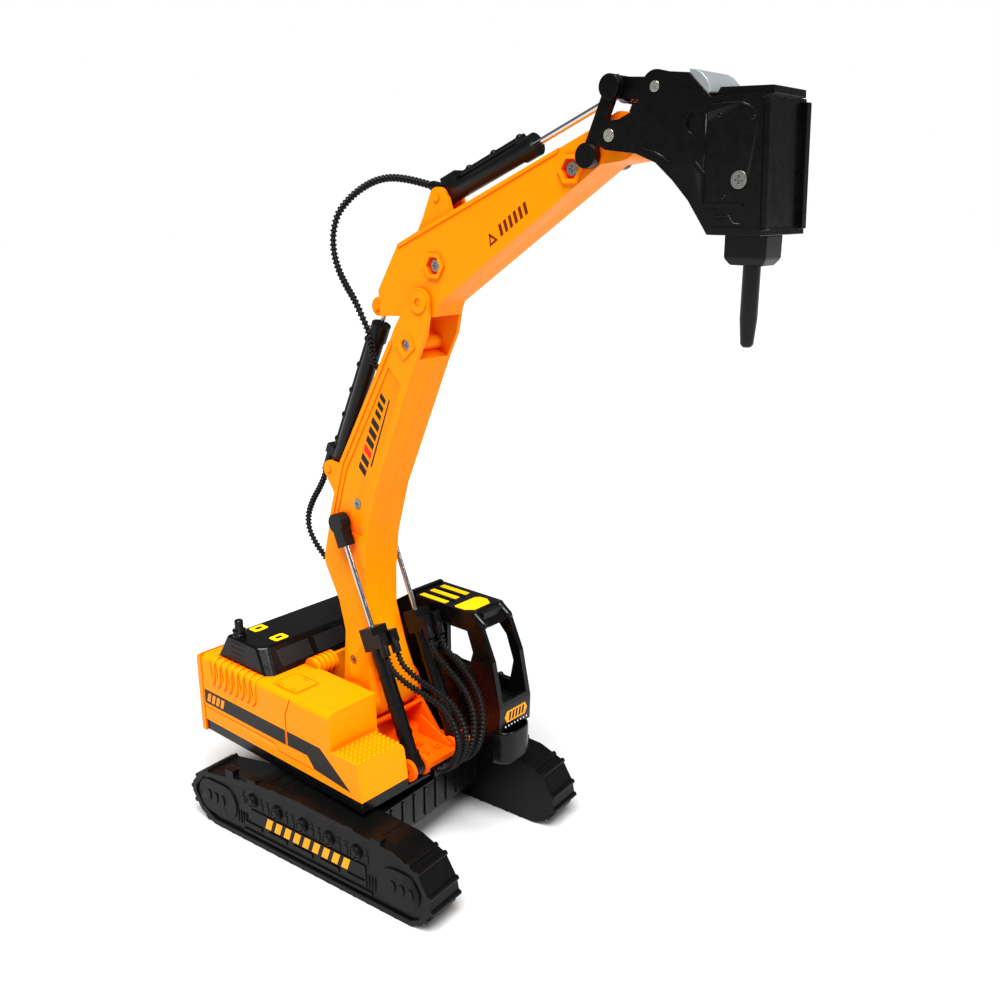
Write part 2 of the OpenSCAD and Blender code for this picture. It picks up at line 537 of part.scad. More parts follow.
module arm_half_shell(s) color("#ff8a00") in_boom_plane() scale([1, s, 1]) difference() {
    arm_solid();
    slab(-1, arm_half - wall) polygon(inset([[46, 231.5], [94, 263.5], [103, 273], [98, 278], [88.6, 274.5],
        [51.6, 259], [32, 251], [25, 247], [16, 233], [30, 234]], wall));
    ybar(arm_hinge, pin_r + fit, -1, arm_half + 1);
    ybar(tool_hinge, 1.8 + fit, -1, arm_half + 1);
    for (p = [[41.5, 241.5], [101, 273]]) {
        translate([p[0], arm_half - 1.5, p[1]]) rotate([-90, 0, 0]) cylinder(r = 3.4, h = 4, $fn = 6);
        ybar(p, 1.1, -1, arm_half);
    }
    // slot for the arm cylinder's eye, up to its pin
    slab(-1, 2.6) difference() {
        polygon([[-2, 214], [17.5, 214], [17.5, 234], [-2, 234]]);
        translate(arm_lug) circle(r = eye_pin_r);
    }
}
module arm_right() arm_half_shell(-1);
module arm_left() arm_half_shell(1);
module arm_screws() color("#8c8c8c") in_boom_plane() for (p = [[41.5, 241.5], [101, 273]])
    screw(p, -arm_half + 1.5, 2.1, 8);
module tool_pin() color("#c8c8c8") in_boom_plane()
    ybar(tool_hinge, 1.8, -breaker_half - 0.3, breaker_half + 0.3);

// ---- tool linkage ----
rocker_in = arm_half + gap;
rocker_out = rocker_in + 2;
module rockers() color("#101010") in_boom_plane() for (s = [-1, 1]) scale([1, s, 1]) difference() {
    union() {
        ybar(rocker_foot, 3.7, rocker_in, rocker_out + 1.2);
        ybar(rocker_top, 3.5, rocker_in, rocker_out + 1.4);
        translate([0, rocker_in, 0]) along(rocker_foot, rocker_top) block([-2.2, 0, 0], [2.2, 2, 20.5]);
    }
    ybar(rocker_foot, pin_r + fit, rocker_in - 1, rocker_out + 0.4);
    ybar(rocker_top, pin_r, rocker_in - 1, rocker_out + 0.4);
}
module rocker_pin() color("#2a2a2a") in_boom_plane() ybar(rocker_top, pin_r, -rocker_out, rocker_out);
link_len = norm(link_hinge - rocker_top);
module link() color("#121212") in_boom_plane() difference() {
    union() {
        ybar(rocker_top, 3.4, -arm_half, arm_half);
        along(rocker_top, link_hinge) block([-2.9, -arm_half, 1.7], [2.9, arm_half, link_len - 2.7]);
        ybar(link_hinge, 4, -arm_half, arm_half);
    }
    ybar(rocker_top, pin_r + fit, -20, 20);
    ybar(link_hinge + link_shift, link_bore_r, -20, 20);
    along(rocker_top, link_hinge) block([-9, -2.4, -9], [9, 2.4, 6.5]);
}
module link_pin() color("#c8c8c8") in_boom_plane()
    ybar(link_hinge, pin_r, -breaker_half - 0.3, breaker_half + 0.3);

// ---- breaker ----
module breaker_solid() {
    slab(breaker_half - 2.6, breaker_half) polygon(breaker_side);
    slab(0, breaker_half) polygon(breaker_core);
    ybar(tool_hinge, 3.4, rocker_out + gap, breaker_half);
    // cap block, lower lip and front flange
    slab(0, 9.5) polygon([[151, 290.5 - eps], [168.4, 290.5 - eps], [168.2, 292.6], [152.5, 293]]);
    slab(0, breaker_half + 0.5) polygon([[153.5, 254.5], [169, 254.5], [168.8, 256.6], [153.5, 256.6]]);
    slab(breaker_half - 3, breaker_half - 0.4)
        polygon([[167, 289.5], [168.3, 256], [170, 256], [168.8, 289.5]]);
    // ribs on the side
    slab(breaker_half - eps, breaker_half + 0.4) polygon([[147, 273], [150, 270], [150, 262], [163, 262],
        [163, 263], [151, 263], [151, 271], [148, 274]]);
}
module breaker_half_shell(s) color("#0d0d0d") in_boom_plane() scale([1, s, 1]) difference() {
    breaker_solid();
    slab(-1, breaker_half - 2.6) polygon([[145.5, 272], [150, 268], [155, 258.5], [165.5, 258.5],
        [164.2, 287.5], [151, 287.5], [147, 291], [145.5, 289]]);
    ybar(tool_hinge, 1.8, 0, breaker_half + 1);
    ybar(link_hinge, pin_r, 0, breaker_half + 1);
    ybar([161.5, 269], 2.6, breaker_half - 0.8, breaker_half + 1);
    ybar([161.5, 269], 1.1, -1, breaker_half);
    // round pocket behind the pins
    ybar([147.5, 284], 3.2, breaker_half - 0.8, breaker_half + 1);
}
module breaker_right() breaker_half_shell(-1);
module breaker_left() breaker_half_shell(1);
module breaker_top_plate() color("#a8adb0") in_boom_plane() slab(-breaker_half, 5)
    polygon([[144.5, 297.02], [150.9, 291], [151.3, 292.4], [149, 296], [145.4, 298]]);
module breaker_screws() color("#b0b0b0") in_boom_plane() screw([161.5, 269], -breaker_half + 0.8, 2.4, 12);
module chisel_holder() color("#101010") in_boom_plane() difference() {
    union() {
        block([153.8, -5, 248], [166.8, 5, 254.5]);
        hull() {
            block([153.8, -5, 247.9], [166.8, 5, 248]);
            block([155.2, -3.8, 246], [165.4, 3.8, 246.1]);
        }
    }
    translate([chisel_x, 0, 0]) cylinder_z(2.55, 240, 252);
}
module chisel() color("#0c0c0c") in_boom_plane() translate([chisel_x, 0, 0]) rotate_extrude()
    polygon([[0, 222.8],
    [1.2, 222.8], [1.9, 223.6], [2.55, 231], [2.55, 252], [0, 252]]);

// ---- cylinders ----
boom_cyl_len = norm(boom_lug - cyl_foot);
module boom_barrel(s) color("#141414") in_boom_plane() translate([0, s * boom_cyl_offset, 0])
    along(cyl_foot, boom_lug) difference() {
        union() {
            translate([0, 0, neck]) cylinder(r = barrel_r, h = 59 - neck);
            block([-2.6, -2.4, 0], [2.6, 2.4, neck + 1]);
            ybar([0, 0], 3.5, -2.5, 2.5);
            block([-3.6, -4.2, 51], [4.2, 4.2, 60.5]);
            for (y = [-3, 3]) {
                block([4, y - 1.9, 52], [9, y + 1.9, 57.5]);
                translate([7.4, y, 47.8]) cylinder(r = 1.9, h = 5);
            }
            for (z = [14, 26, 38]) translate([0, 0, z]) cylinder(r = barrel_r + 0.4, h = 1.4);
            block([-barrel_r - 1.2, -0.8, 6], [-barrel_r + 1, 0.8, 50]);
        }
        translate([0, 0, 8]) cylinder(r = rod_r + fit, h = 60);
        ybar([0, 0], eye_pin_r + fit, -5, 5);
    }
module boom_barrel_right() boom_barrel(-1);
module boom_barrel_left() boom_barrel(1);
module boom_rod(s) color("#d0d0d0") in_boom_plane() translate([0, s * boom_cyl_offset, 0])
    along(cyl_foot, boom_lug) translate([0, 0, 36]) cylinder(r = rod_r, h = boom_cyl_len - 36 - 4.6);
module boom_rod_right() boom_rod(-1);
module boom_rod_left() boom_rod(1);
module rod_cap(s) color("#121212") in_boom_plane() scale([1, s, 1]) translate([0, boom_cyl_offset, 0])
    along(cyl_foot, boom_lug) difference() {
        union() {
            ybar([0, boom_cyl_len], 4.1, -2.5, 2.5);
            block([-2.8, -2.4, boom_cyl_len - 10], [2.8, 2.4, boom_cyl_len - 2]);
        }
        ybar([0, boom_cyl_len], 2.9, -3, 0.2);
        translate([0, 0, boom_cyl_len - 11]) cylinder(r = rod_r, h = 6.4);
    }
module rod_cap_right() rod_cap(-1);
module rod_cap_left() rod_cap(1);

arm_cyl_len = norm(arm_lug - arm_cyl_foot);
module arm_barrel() color("#141414") in_boom_plane() along(arm_cyl_foot, arm_lug) difference() {
    union() {
        translate([0, 0, neck]) cylinder(r = barrel_r + 0.2, h = 69 - neck);
        block([-2.6, -2.3, 0], [2.6, 2.3, neck + 1]);
        ybar([0, 0], 3.4, -2.3, 2.3);
        // hose fitting behind the foot
        block([-7.6, -2, 3.8], [-2, 2, 8]);
        translate([-5.8, 0, -5]) cylinder(r = 1.9, h = 9);
        // feed pipe with knuckles along the back
        translate([-4.2, 0, 8]) cylinder(r = 1.1, h = 56);
        for (z = [12, 24, 36, 48, 60]) translate([-4.4, 0, z]) sphere(r = 1.6, $fn = 24);
        translate([0, 0, 62]) cylinder(r = barrel_r + 0.8, h = 7);
    }
    translate([0, 0, 8]) cylinder(r = rod_r + fit, h = 80);
    ybar([0, 0], eye_pin_r + fit, -5, 5);
    ybar([0, 14], 1.2, 1, 5);
}
module arm_rod() color("#d0d0d0") in_boom_plane() difference() {
    union() {
        along(arm_cyl_foot, arm_lug) translate([0, 0, 20]) cylinder(r = rod_r, h = arm_cyl_len - 23);
        ybar(arm_lug + arm_eye_shift, arm_eye_r + 1.4, -1.3, 1.3);
    }
    ybar(arm_lug + arm_eye_shift, arm_eye_r, -5, 5);
}

tool_cyl_len = norm(rocker_top - tool_cyl_foot);
module tool_barrel() color("#141414") in_boom_plane() difference() {
    union() {
        along(tool_cyl_foot, rocker_top) {
            translate([0, 0, neck]) cylinder(r = barrel_r + 0.2, h = 44 - neck);
            block([-2.4, -2.3, 0], [2.4, 2.3, neck + 1]);
            ybar([0, 0], 2.9, -2.3, 2.3);
            // stepped fitting above the foot
            block([-6.2, -2.2, 1.5], [-2, 2.2, 9]);
            translate([-4.2, 0, 9]) cylinder(r = 1.1, h = 31);
            for (z = [14, 26, 38]) translate([-4.4, 0, z]) sphere(r = 1.5, $fn = 24);
            translate([0, 0, 38]) cylinder(r = barrel_r + 0.8, h = 6);
        }
        translate([39.6, 0, 267.6]) rotate([0, -80, 0]) cylinder(r = 1.9, h = 5);
    }
    along(tool_cyl_foot, rocker_top) {
        translate([0, 0, 8]) cylinder(r = rod_r + fit, h = 80);
        ybar([0, 0], eye_pin_r + fit, -5, 5);
    }
}
module tool_rod() color("#d0d0d0") in_boom_plane() difference() {
    union() {
        along(tool_cyl_foot, rocker_top) translate([0, 0, 30]) cylinder(r = rod_r, h = tool_cyl_len - 33);
        ybar(rocker_top + tool_eye_shift, tool_eye_r + 1.3, -1.6, 1.6);
    }
    ybar(rocker_top + tool_eye_shift, tool_eye_r, -5, 5);
}

// ---- hoses ----
module hose_right_outer() color("#0a0a0a") tube(route_right_outer, hose_d);
module hose_right_inner() color("#0a0a0a") tube(route_right_inner, hose_d);
module hose_left_inner() color("#0a0a0a") tube(route_left_inner, hose_d);
module hose_left_outer() color("#0a0a0a") tube(route_left_outer, hose_d);
module hose_arm() color("#0a0a0a") tube(route_arm, hose_d);
module hose_tool() color("#0a0a0a") tube(route_tool, hose_d);

chassis();
track_right();
track_left();
roller_panel_right();
roller_panel_left();
wheel_front_right();
wheel_front_left();
wheel_rear_right();
wheel_rear_left();
wheel_pins();
chassis_screws();
slew_screw();
turntable_base();
body_shell();
counterweight();
engine_cover();
air_cleaner();
boom_seat();
cab_shell();
cab_seat();
cab_console();
cab_bumper();
boom_pin();
cylinder_foot_pins();
body_screws();
hose_manifold();
boom_right();
boom_left();
boom_screws();
arm_pin();
arm_right();
arm_left();
arm_screws();
tool_pin();
rockers();
rocker_pin();
link();
breaker_right();
breaker_left();
breaker_top_plate();
breaker_screws();
chisel_holder();
chisel();
link_pin();
boom_barrel_right();
boom_rod_right();
rod_cap_right();
boom_barrel_left();
boom_rod_left();
rod_cap_left();
arm_barrel();
arm_rod();
tool_barrel();
tool_rod();
hose_right_outer();
hose_right_inner();
hose_left_inner();
hose_left_outer();
hose_arm();
hose_tool();
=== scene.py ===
import json
from math import cos, pi, radians, sin

import bmesh
import bpy
from bpy.props import FloatProperty, FloatVectorProperty, PointerProperty
from mathutils import Matrix, Vector


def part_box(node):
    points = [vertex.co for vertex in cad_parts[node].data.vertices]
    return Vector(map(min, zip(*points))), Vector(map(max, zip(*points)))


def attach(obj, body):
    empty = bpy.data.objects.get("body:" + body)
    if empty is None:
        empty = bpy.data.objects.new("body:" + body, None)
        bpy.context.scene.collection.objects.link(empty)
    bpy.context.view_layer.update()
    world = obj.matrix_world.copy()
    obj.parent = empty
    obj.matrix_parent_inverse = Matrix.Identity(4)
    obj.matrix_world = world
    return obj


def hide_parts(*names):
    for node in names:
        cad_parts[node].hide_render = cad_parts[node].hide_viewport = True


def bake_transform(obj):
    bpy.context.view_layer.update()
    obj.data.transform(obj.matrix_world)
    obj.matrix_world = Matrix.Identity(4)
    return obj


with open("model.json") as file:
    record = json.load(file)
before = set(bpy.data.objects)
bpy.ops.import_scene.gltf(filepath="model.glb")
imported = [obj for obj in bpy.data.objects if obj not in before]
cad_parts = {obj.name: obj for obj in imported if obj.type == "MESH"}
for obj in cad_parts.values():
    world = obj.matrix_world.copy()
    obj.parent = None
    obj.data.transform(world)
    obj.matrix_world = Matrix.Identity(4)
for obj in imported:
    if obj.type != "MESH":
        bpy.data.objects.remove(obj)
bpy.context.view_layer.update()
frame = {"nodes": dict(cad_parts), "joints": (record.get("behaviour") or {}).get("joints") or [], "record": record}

bl_info = {
    "name": "Toy Excavator",
    "version": (1, 0, 0),
    "blender": (4, 5, 0),
    "location": "View3D > Sidebar > Toy Excavator",
    "description": "Moulded plastic excavator with a breaker, built round its jointed frame",
    "category": "Object",
}

MM = 0.001
PIVOT = {j["name"]: Vector(j["pos_m"]) / MM for j in frame["joints"] if "pos_m" in j}
BODY_OF = {n: b for b, ns in frame["record"]["behaviour"]["bodies"].items() for n in ns}


def node_box(node):
    """Lowest and highest corner of a CAD node at rest, in millimetres."""
    return [Vector(corner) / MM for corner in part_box(node)]


BOOM_Y = PIVOT["boom_raise"].y
BODY_RIGHT = node_box("body_shell")[0].y
DECK_TOP = 70.5
COVER_TOP = node_box("engine_cover")[1].z
ROOF_TOP = 99.0
CAB_FRONT = 49.95
PANEL_FACE = 49.4
BOOM_PANEL = node_box("boom_right")[0].y + 4.4
ARM_FACE = BOOM_Y - 7.1
PARK_ANGLE = radians(4.85)
FLOW_SIZE = 14       # width of the soft flow marks in moulded plastic
SCUFF_SIZE = 3.5     # width of its handling scuffs
PAINTED_SHADE_REACH = 7     # how far out of a corner the painted shade reaches that turns the orange redder
HOSES = ("hose_right_outer", "hose_right_inner", "hose_left_inner", "hose_left_outer", "hose_arm", "hose_tool")


def colour(hex_text):
    """sRGB hex to linear RGBA."""
    parts = [int(hex_text[i : i + 2], 16) / 255 for i in (1, 3, 5)]
    return [p / 12.92 if p <= 0.04045 else ((p + 0.055) / 1.055) ** 2.4 for p in parts] + [1.0]


# ---------------------------------------------------------------- what a user would change


def tint_property(name, description, hex_text):
    return FloatVectorProperty(
        name=name, description=description, subtype="COLOR", size=4, min=0, max=1, default=colour(hex_text)
    )


def size_property(name, description, millimetres):
    return FloatProperty(
        name=name, description=description, unit="LENGTH", subtype="DISTANCE", min=0, default=millimetres * MM
    )


class ToyColours(bpy.types.PropertyGroup):
    """Colours of the plastics, the printed marks and the painted corner shade"""

    orange: tint_property("Orange", "Moulded body, boom and arm", "#FF9000")
    # Painted shade: the colour the orange turns in its corners and pockets, where shade falls.
    painted_corner_shade: tint_property("Painted corner shade", "The orange plastic down in its corners and pockets", "#FF5200")
    black: tint_property("Black", "Polished cab, breaker and engine cover", "#040404")
    track: tint_property("Track black", "Satin tracks and rollers", "#050505")
    yellow: tint_property("Yellow print", "Marks on the cab roof and the engine cover", "#FFCE00")
    hazard: tint_property("Hazard print", "Slanted bars on the tracks and the cab plaque", "#FFA200")
    red: tint_property("Red print", "Red bar on the boom", "#F52008")
    brown: tint_property("Brown print", "Marks on the arm", "#6A1E00")


class ToySizes(bpy.types.PropertyGroup):
    """Sizes of the small details"""

    edge_round: size_property("Edge rounding", "Radius of the moulded edges", 0.35)
    print_depth: size_property("Print thickness", "How far a printed mark stands proud", 0.12)
    hose_core: size_property("Hose core radius", "Radius between a hose's rings", 0.9)
    hose_ring: size_property("Hose ring radius", "Radius over a hose's rings", 1.45)
    ring_pitch: size_property("Ring pitch", "Distance from ring to ring along a hose", 1.75)


# ---------------------------------------------------------------- materials


def add_node(material, kind, settings=(), **links):
    """A new node; settings go to its properties or sockets, links come from other nodes' sockets."""
    tree = material.node_tree
    node = tree.nodes.new(kind)
    for key, value in dict(settings).items():
        if key in node.inputs:
            node.inputs[key].default_value = value
        else:
            setattr(node, key, value)
    for key, source in links.items():
        tree.links.new(source, node.inputs[key.replace("_", " ")])
    return node


def new_material(name):
    material = bpy.data.materials.new(name)
    material.use_nodes = True
    material.node_tree.nodes.clear()
    return material


def darker(tint, share):
    return [c * share for c in tint[:3]] + [1.0]


def plastic(name, base, shade, roughness, spread, ior, peel_mm, peel_depth, specular, painted_corner_shade=None):
    """Injection-moulded plastic: soft flow marks in the colour, uneven gloss, and a fine orange peel; given a
    shade colour, painted shade in its corners.
    """
    material = new_material(name)
    place = add_node(material, "ShaderNodeTexCoord").outputs["Object"]
    flow = add_node(material, "ShaderNodeTexNoise",
                    {"Scale": 1 / (FLOW_SIZE * MM), "Detail": 3.0, "Roughness": 0.6}, Vector=place)
    tint = add_node(material, "ShaderNodeMix", {"data_type": "RGBA"}, Factor=flow.outputs["Fac"])
    tint.inputs[6].default_value = base
    tint.inputs[7].default_value = shade
    surface = tint.outputs[2]
    # Painted shade: ambient occlusion mixes the given shade colour into corners and pockets, where shade falls.
    if painted_corner_shade:
        corners = add_node(material, "ShaderNodeAmbientOcclusion",
                           {"Distance": PAINTED_SHADE_REACH * MM, "samples": 6})
        deep = add_node(material, "ShaderNodeMapRange", {"From Min": 0.35, "From Max": 0.85},
                        Value=corners.outputs["AO"])
        painted_shade_mix = add_node(material, "ShaderNodeMix", {"data_type": "RGBA"}, Factor=deep.outputs["Result"])
        painted_shade_mix.inputs[6].default_value = painted_corner_shade
        material.node_tree.links.new(surface, painted_shade_mix.inputs[7])
        surface = painted_shade_mix.outputs[2]
    scuffs = add_node(material, "ShaderNodeTexNoise",
                      {"Scale": 1 / (SCUFF_SIZE * MM), "Detail": 6.0, "Roughness": 0.75}, Vector=place)
    gloss = add_node(material, "ShaderNodeMapRange", {"From Min": 0.35, "From Max": 0.75,
                     "To Min": roughness, "To Max": roughness + spread}, Value=scuffs.outputs["Fac"])
    peel = add_node(material, "ShaderNodeTexNoise", {"Scale": 1 / (peel_mm * MM), "Detail": 2.0}, Vector=place)
    bump = add_node(material, "ShaderNodeBump", {"Strength": 0.35, "Distance": peel_depth * MM},
                    Height=peel.outputs["Fac"])
    skin = add_node(material, "ShaderNodeBsdfPrincipled", {"IOR": ior, "Specular IOR Level": specular},
                    Base_Color=surface, Roughness=gloss.outputs["Result"], Normal=bump.outputs["Normal"])
    add_node(material, "ShaderNodeOutputMaterial", Surface=skin.outputs["BSDF"])
    return material


def shader_of(material):
    return next(n for n in material.node_tree.nodes if n.type == "BSDF_PRINCIPLED")


def orange_abs(look):
    """ABS, injection moulded in a polished tool: bright and warm, with painted shade that turns it redder down in
    its corners.
    """
    base = look.orange
    return plastic("orange_moulded_abs", base, darker(base, 0.96), 0.30, 0.10, 1.54, 1.1, 0.010, 0.06,
                   look.painted_corner_shade)


def bounce_lit_orange_abs(look):
    """The same ABS in the boom's seat, its colour painted redder to stand in for the light that bounces between
    close walls.
    """
    base = [1.0, 0.12, 0.0, 1.0]
    return plastic("orange_abs_painted_bounce_light", base, darker(base, 0.95), 0.32, 0.10, 1.54, 1.1, 0.010, 0.06,
                   look.painted_corner_shade)


def black_abs(look):
    """Black ABS from a polished tool: deep black with sharp highlights."""
    shade = darker(look.black, 2.0)
    return plastic("black_polished_abs", look.black, shade, 0.20, 0.14, 1.54, 1.3, 0.010, 0.20)


def satin_black_abs(look):
    """Black ABS from a lightly blasted tool: the tracks' softer, greyer shine."""
    return plastic("black_satin_abs", look.track, darker(look.track, 1.8), 0.30, 0.16, 1.52, 0.8, 0.014, 0.13)


def grained_black_abs(look):
    """Black ABS with a fine grained tool finish that catches grey light, on the cylinders."""
    return plastic("black_grained_abs", darker(look.black, 1.8), darker(look.black, 3.0), 0.30, 0.14, 1.52, 0.5,
                   0.016, 0.18)


def slate_black_abs(look):
    """Black ABS with a coarse spark-eroded finish: the dark grey of the engine cover's front and mesh."""
    return plastic("black_eroded_abs", colour("#111112"), colour("#1B1B1C"), 0.42, 0.12, 1.52, 0.45, 0.02, 0.2)


def hose_pvc(look):
    """Soft black PVC, extruded with rings: dull, with a rubbery sheen."""
    shade = darker(look.black, 2.4)
    material = plastic("black_soft_pvc", look.black, shade, 0.36, 0.14, 1.50, 0.5, 0.012, 0.15)
    shader_of(material).inputs["Sheen Weight"].default_value = 0.02
    return material


def metal(name, base, roughness, spread, grain_mm, stretch, depth):
    """Metal with drawn or plated grain: a noise stretched along one axis."""
    material = new_material(name)
    place = add_node(material, "ShaderNodeTexCoord")
    drawn = add_node(material, "ShaderNodeMapping", {"Scale": stretch}, Vector=place.outputs["Object"])
    grain = add_node(material, "ShaderNodeTexNoise", {"Scale": 1 / (grain_mm * MM), "Detail": 4.0},
                     Vector=drawn.outputs["Vector"])
    gloss = add_node(material, "ShaderNodeMapRange", {"From Min": 0.3, "From Max": 0.7, "To Min": roughness,
                     "To Max": roughness + spread}, Value=grain.outputs["Fac"])
    bump = add_node(material, "ShaderNodeBump", {"Strength": 0.2, "Distance": depth * MM},
                    Height=grain.outputs["Fac"])
    skin = add_node(material, "ShaderNodeBsdfPrincipled", {"Base Color": colour(base), "Metallic": 1.0},
                    Roughness=gloss.outputs["Result"], Normal=bump.outputs["Normal"])
    add_node(material, "ShaderNodeOutputMaterial", Surface=skin.outputs["BSDF"])
    return material


def chromed_steel(look):
    """Polished rod with bright chrome plate: mirror-like, a little uneven."""
    return metal("chromed_steel", "#D2D2D6", 0.08, 0.10, 0.9, (1, 1, 0.25), 0.004)


def zinc_steel(look):
    """Self-tapping screw steel, zinc plated: greyer and duller than chrome."""
    return metal("zinc_plated_steel", "#9C9A96", 0.26, 0.18, 0.35, (1, 1, 1), 0.01)


def nickel_pin(look):
    """Nickel-plated pin ends, bright but brushed flat."""
    return metal("nickel_plated_pin", "#E0DAD0", 0.22, 0.16, 0.4, (1, 1, 1), 0.008)


def painted_reflection_grey(look):
    """Silver-grey colour that paints a reflection of the white studio onto the breaker's glossy black top: mottled
    grey and a soft shine.
    """
    # Painted reflection: these greys stand in for the white studio mirrored in glossy black, mottled by noise.
    base, paler_grey = colour("#8F9596"), colour("#A2A7A8")
    material = plastic("grey_abs_painted_reflection", base, paler_grey, 0.30, 0.14, 1.50, 0.35, 0.008, 0.4)
    shader_of(material).inputs["Metallic"].default_value = 0.35
    return material


def print_ink(name, base):
    """Pad-printed ink: thin, even and slightly matt, with the odd thin spot."""
    return plastic(name, base, darker(base, 0.93), 0.36, 0.12, 1.48, 0.4, 0.005, 0.2)


MAKERS = {
    "orange": orange_abs,
    "bounce_lit_orange": bounce_lit_orange_abs,
    "black": black_abs,
    "satin_black": satin_black_abs,
    "grained_black": grained_black_abs,
    "slate_black": slate_black_abs,
    "hose": hose_pvc,
    "chrome": chromed_steel,
    "zinc": zinc_steel,
    "nickel": nickel_pin,
    "painted_reflection": painted_reflection_grey,
    "yellow_ink": lambda look: print_ink("yellow_pad_print", look.yellow),
    "hazard_ink": lambda look: print_ink("hazard_yellow_pad_print", look.hazard),
    "orange_ink": lambda look: print_ink("orange_pad_print", look.orange),
    "black_ink": lambda look: print_ink("black_pad_print", colour("#1A1612")),
    "red_ink": lambda look: print_ink("red_pad_print", look.red),
    "brown_ink": lambda look: print_ink("dark_brown_pad_print", look.brown),
    "white_ink": lambda look: print_ink("white_pad_print", colour("#E8E8E4")),
}
made = {}


def finish_of(key):
    """The material of that name, made once."""
    if key not in made:
        made[key] = MAKERS[key](bpy.context.scene.toy_colours)
    return made[key]


# ---------------------------------------------------------------- mesh tools


def object_from(name, bm):
    """Turns a bmesh in millimetres into an object in metres."""
    bmesh.ops.recalc_face_normals(bm, faces=bm.faces)
    bmesh.ops.scale(bm, vec=(MM, MM, MM), verts=bm.verts)
    mesh = bpy.data.meshes.new(name)
    bm.to_mesh(mesh)
    bm.free()
    obj = bpy.data.objects.new(name, mesh)
    bpy.context.scene.collection.objects.link(obj)
    return obj


def room_beside(edge):
    """Distance from an edge to the nearest other corner of its two faces."""
    start, end = (v.co for v in edge.verts)
    along = end - start
    nearest = 100.0
    for face in edge.link_faces:
        for vert in face.verts:
            if vert not in edge.verts:
                t = min(1.0, max(0.0, (vert.co - start).dot(along) / along.length_squared))
                nearest = min(nearest, (start + along * t - vert.co).length)
    return nearest


def weigh_edges(bm, width, angle, flat_x):
    """Gives every sharp edge as much of the rounding as its faces leave room for."""
    layer = bm.edges.layers.float.new("bevel_weight_edge")
    for edge in bm.edges:
        seam = flat_x is not None and all(abs(v.co.x - flat_x) < 0.05 for v in edge.verts)
        if len(edge.link_faces) == 2 and edge.calc_face_angle(0) > radians(angle) and not seam:
            edge[layer] = min(1.0, 0.36 * room_beside(edge) / width)


def soft_edges(obj, width, segments=2, angle=30, weighed=False):
    """Rounds sharp edges as a mould does, and shades the rest smooth."""
    obj.data.shade_smooth()
    obj.data.set_sharp_from_angle(angle=radians(angle))
    bevel = obj.modifiers.new("edge_round", "BEVEL")
    bevel.width = width * MM
    bevel.segments = segments
    bevel.limit_method = "WEIGHT" if weighed else "ANGLE"
    bevel.angle_limit = radians(angle)
    bevel.harden_normals = True
    bevel.use_clamp_overlap = True
    return obj


def fit(obj, body, finish, nodes=()):
    """Puts a piece on its body with its finish, in place of its CAD nodes."""
    obj.data.materials.clear()
    obj.data.materials.append(finish_of(finish))
    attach(obj, body)
    if nodes:
        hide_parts(*nodes)
    return obj


def remould(finish, *nodes, width=None, segments=2, angle=30, flat_x=None):
    """Each CAD node's own shape with merged faces and rounded edges, in its place."""
    width = width or bpy.context.scene.toy_sizes.edge_round / MM
    for node in nodes:
        bm = bmesh.new()
        bm.from_mesh(frame["nodes"][node].data)
        bmesh.ops.scale(bm, vec=(1 / MM, 1 / MM, 1 / MM), verts=bm.verts)
        bmesh.ops.remove_doubles(bm, verts=bm.verts, dist=0.001)
        bmesh.ops.dissolve_limit(bm, angle_limit=radians(0.3), verts=bm.verts, edges=bm.edges)
        weigh_edges(bm, width, angle, flat_x)
        obj = object_from(node + "_moulding", bm)
        soft_edges(obj, width, segments, angle, weighed=True)
        fit(obj, BODY_OF[node], finish, [node])


PLANES = {
    "xz": lambda a, b, t: (a, t, b),
    "xy": lambda a, b, t: (a, b, t),
    "yz": lambda a, b, t: (t, a, b),
}


def add_slab(bm, outline, low, high, plane="xz"):
    """A closed flat solid in the bmesh. xz outlines run along y, xy along z, yz along x."""
    rings = [[bm.verts.new(PLANES[plane](a, b, t)) for a, b in outline] for t in (low, high)]
    bm.faces.new(rings[0])
    bm.faces.new(rings[1])
    for i in range(len(outline)):
        j = (i + 1) % len(outline)
        bm.faces.new((rings[0][i], rings[0][j], rings[1][j], rings[1][i]))


def slabs(name, outlines, low, high, plane="xz"):
    """One piece made of several flat solids of the same thickness."""
    bm = bmesh.new()
    for outline in outlines:
        add_slab(bm, outline, low, high, plane)
    return object_from(name, bm)


def printed(name, outlines, level, side, plane, body, finish):
    """Pad-printed marks: thin raised shapes on a flat face at level, facing towards side."""
    depth = bpy.context.scene.toy_sizes.print_depth / MM
    low, high = sorted((level - 0.15 * side, level + depth * side))
    return fit(slabs(name, outlines, low, high, plane), body, finish)


def along_line(outline, start, direction):
    """An outline drawn as (distance along, distance across) moved onto a slanted line."""
    u = Vector(direction).normalized()
    return [(start[0] + a * u.x - b * u.y, start[1] + a * u.y + b * u.x) for a, b in outline]


def slanted(x0, x1, z0, z1, lean):
    """A bar whose top is shifted by lean."""
    return [(x0, z0), (x1, z0), (x1 + lean, z1), (x0 + lean, z1)]


def rounded(x0, y0, x1, y1, r, steps=5):
    """A rectangle with round corners, as outline points."""
    corners = [(x1 - r, y1 - r, 0), (x0 + r, y1 - r, 90), (x0 + r, y0 + r, 180), (x1 - r, y0 + r, 270)]
    return [
        (cx + r * cos(radians(a + 90 * k / steps)), cy + r * sin(radians(a + 90 * k / steps)))
        for cx, cy, a in corners
        for k in range(steps + 1)
    ]


def frames_along(path):
    """For each point of a path, its point and two directions square to it that don't twist."""
    side = None
    for i, point in enumerate(path):
        ahead = (path[min(i + 1, len(path) - 1)] - path[max(i - 1, 0)]).normalized()
        side = ahead.orthogonal() if side is None else side - ahead * side.dot(ahead)
        side.normalize()
        yield point, side, ahead.cross(side)


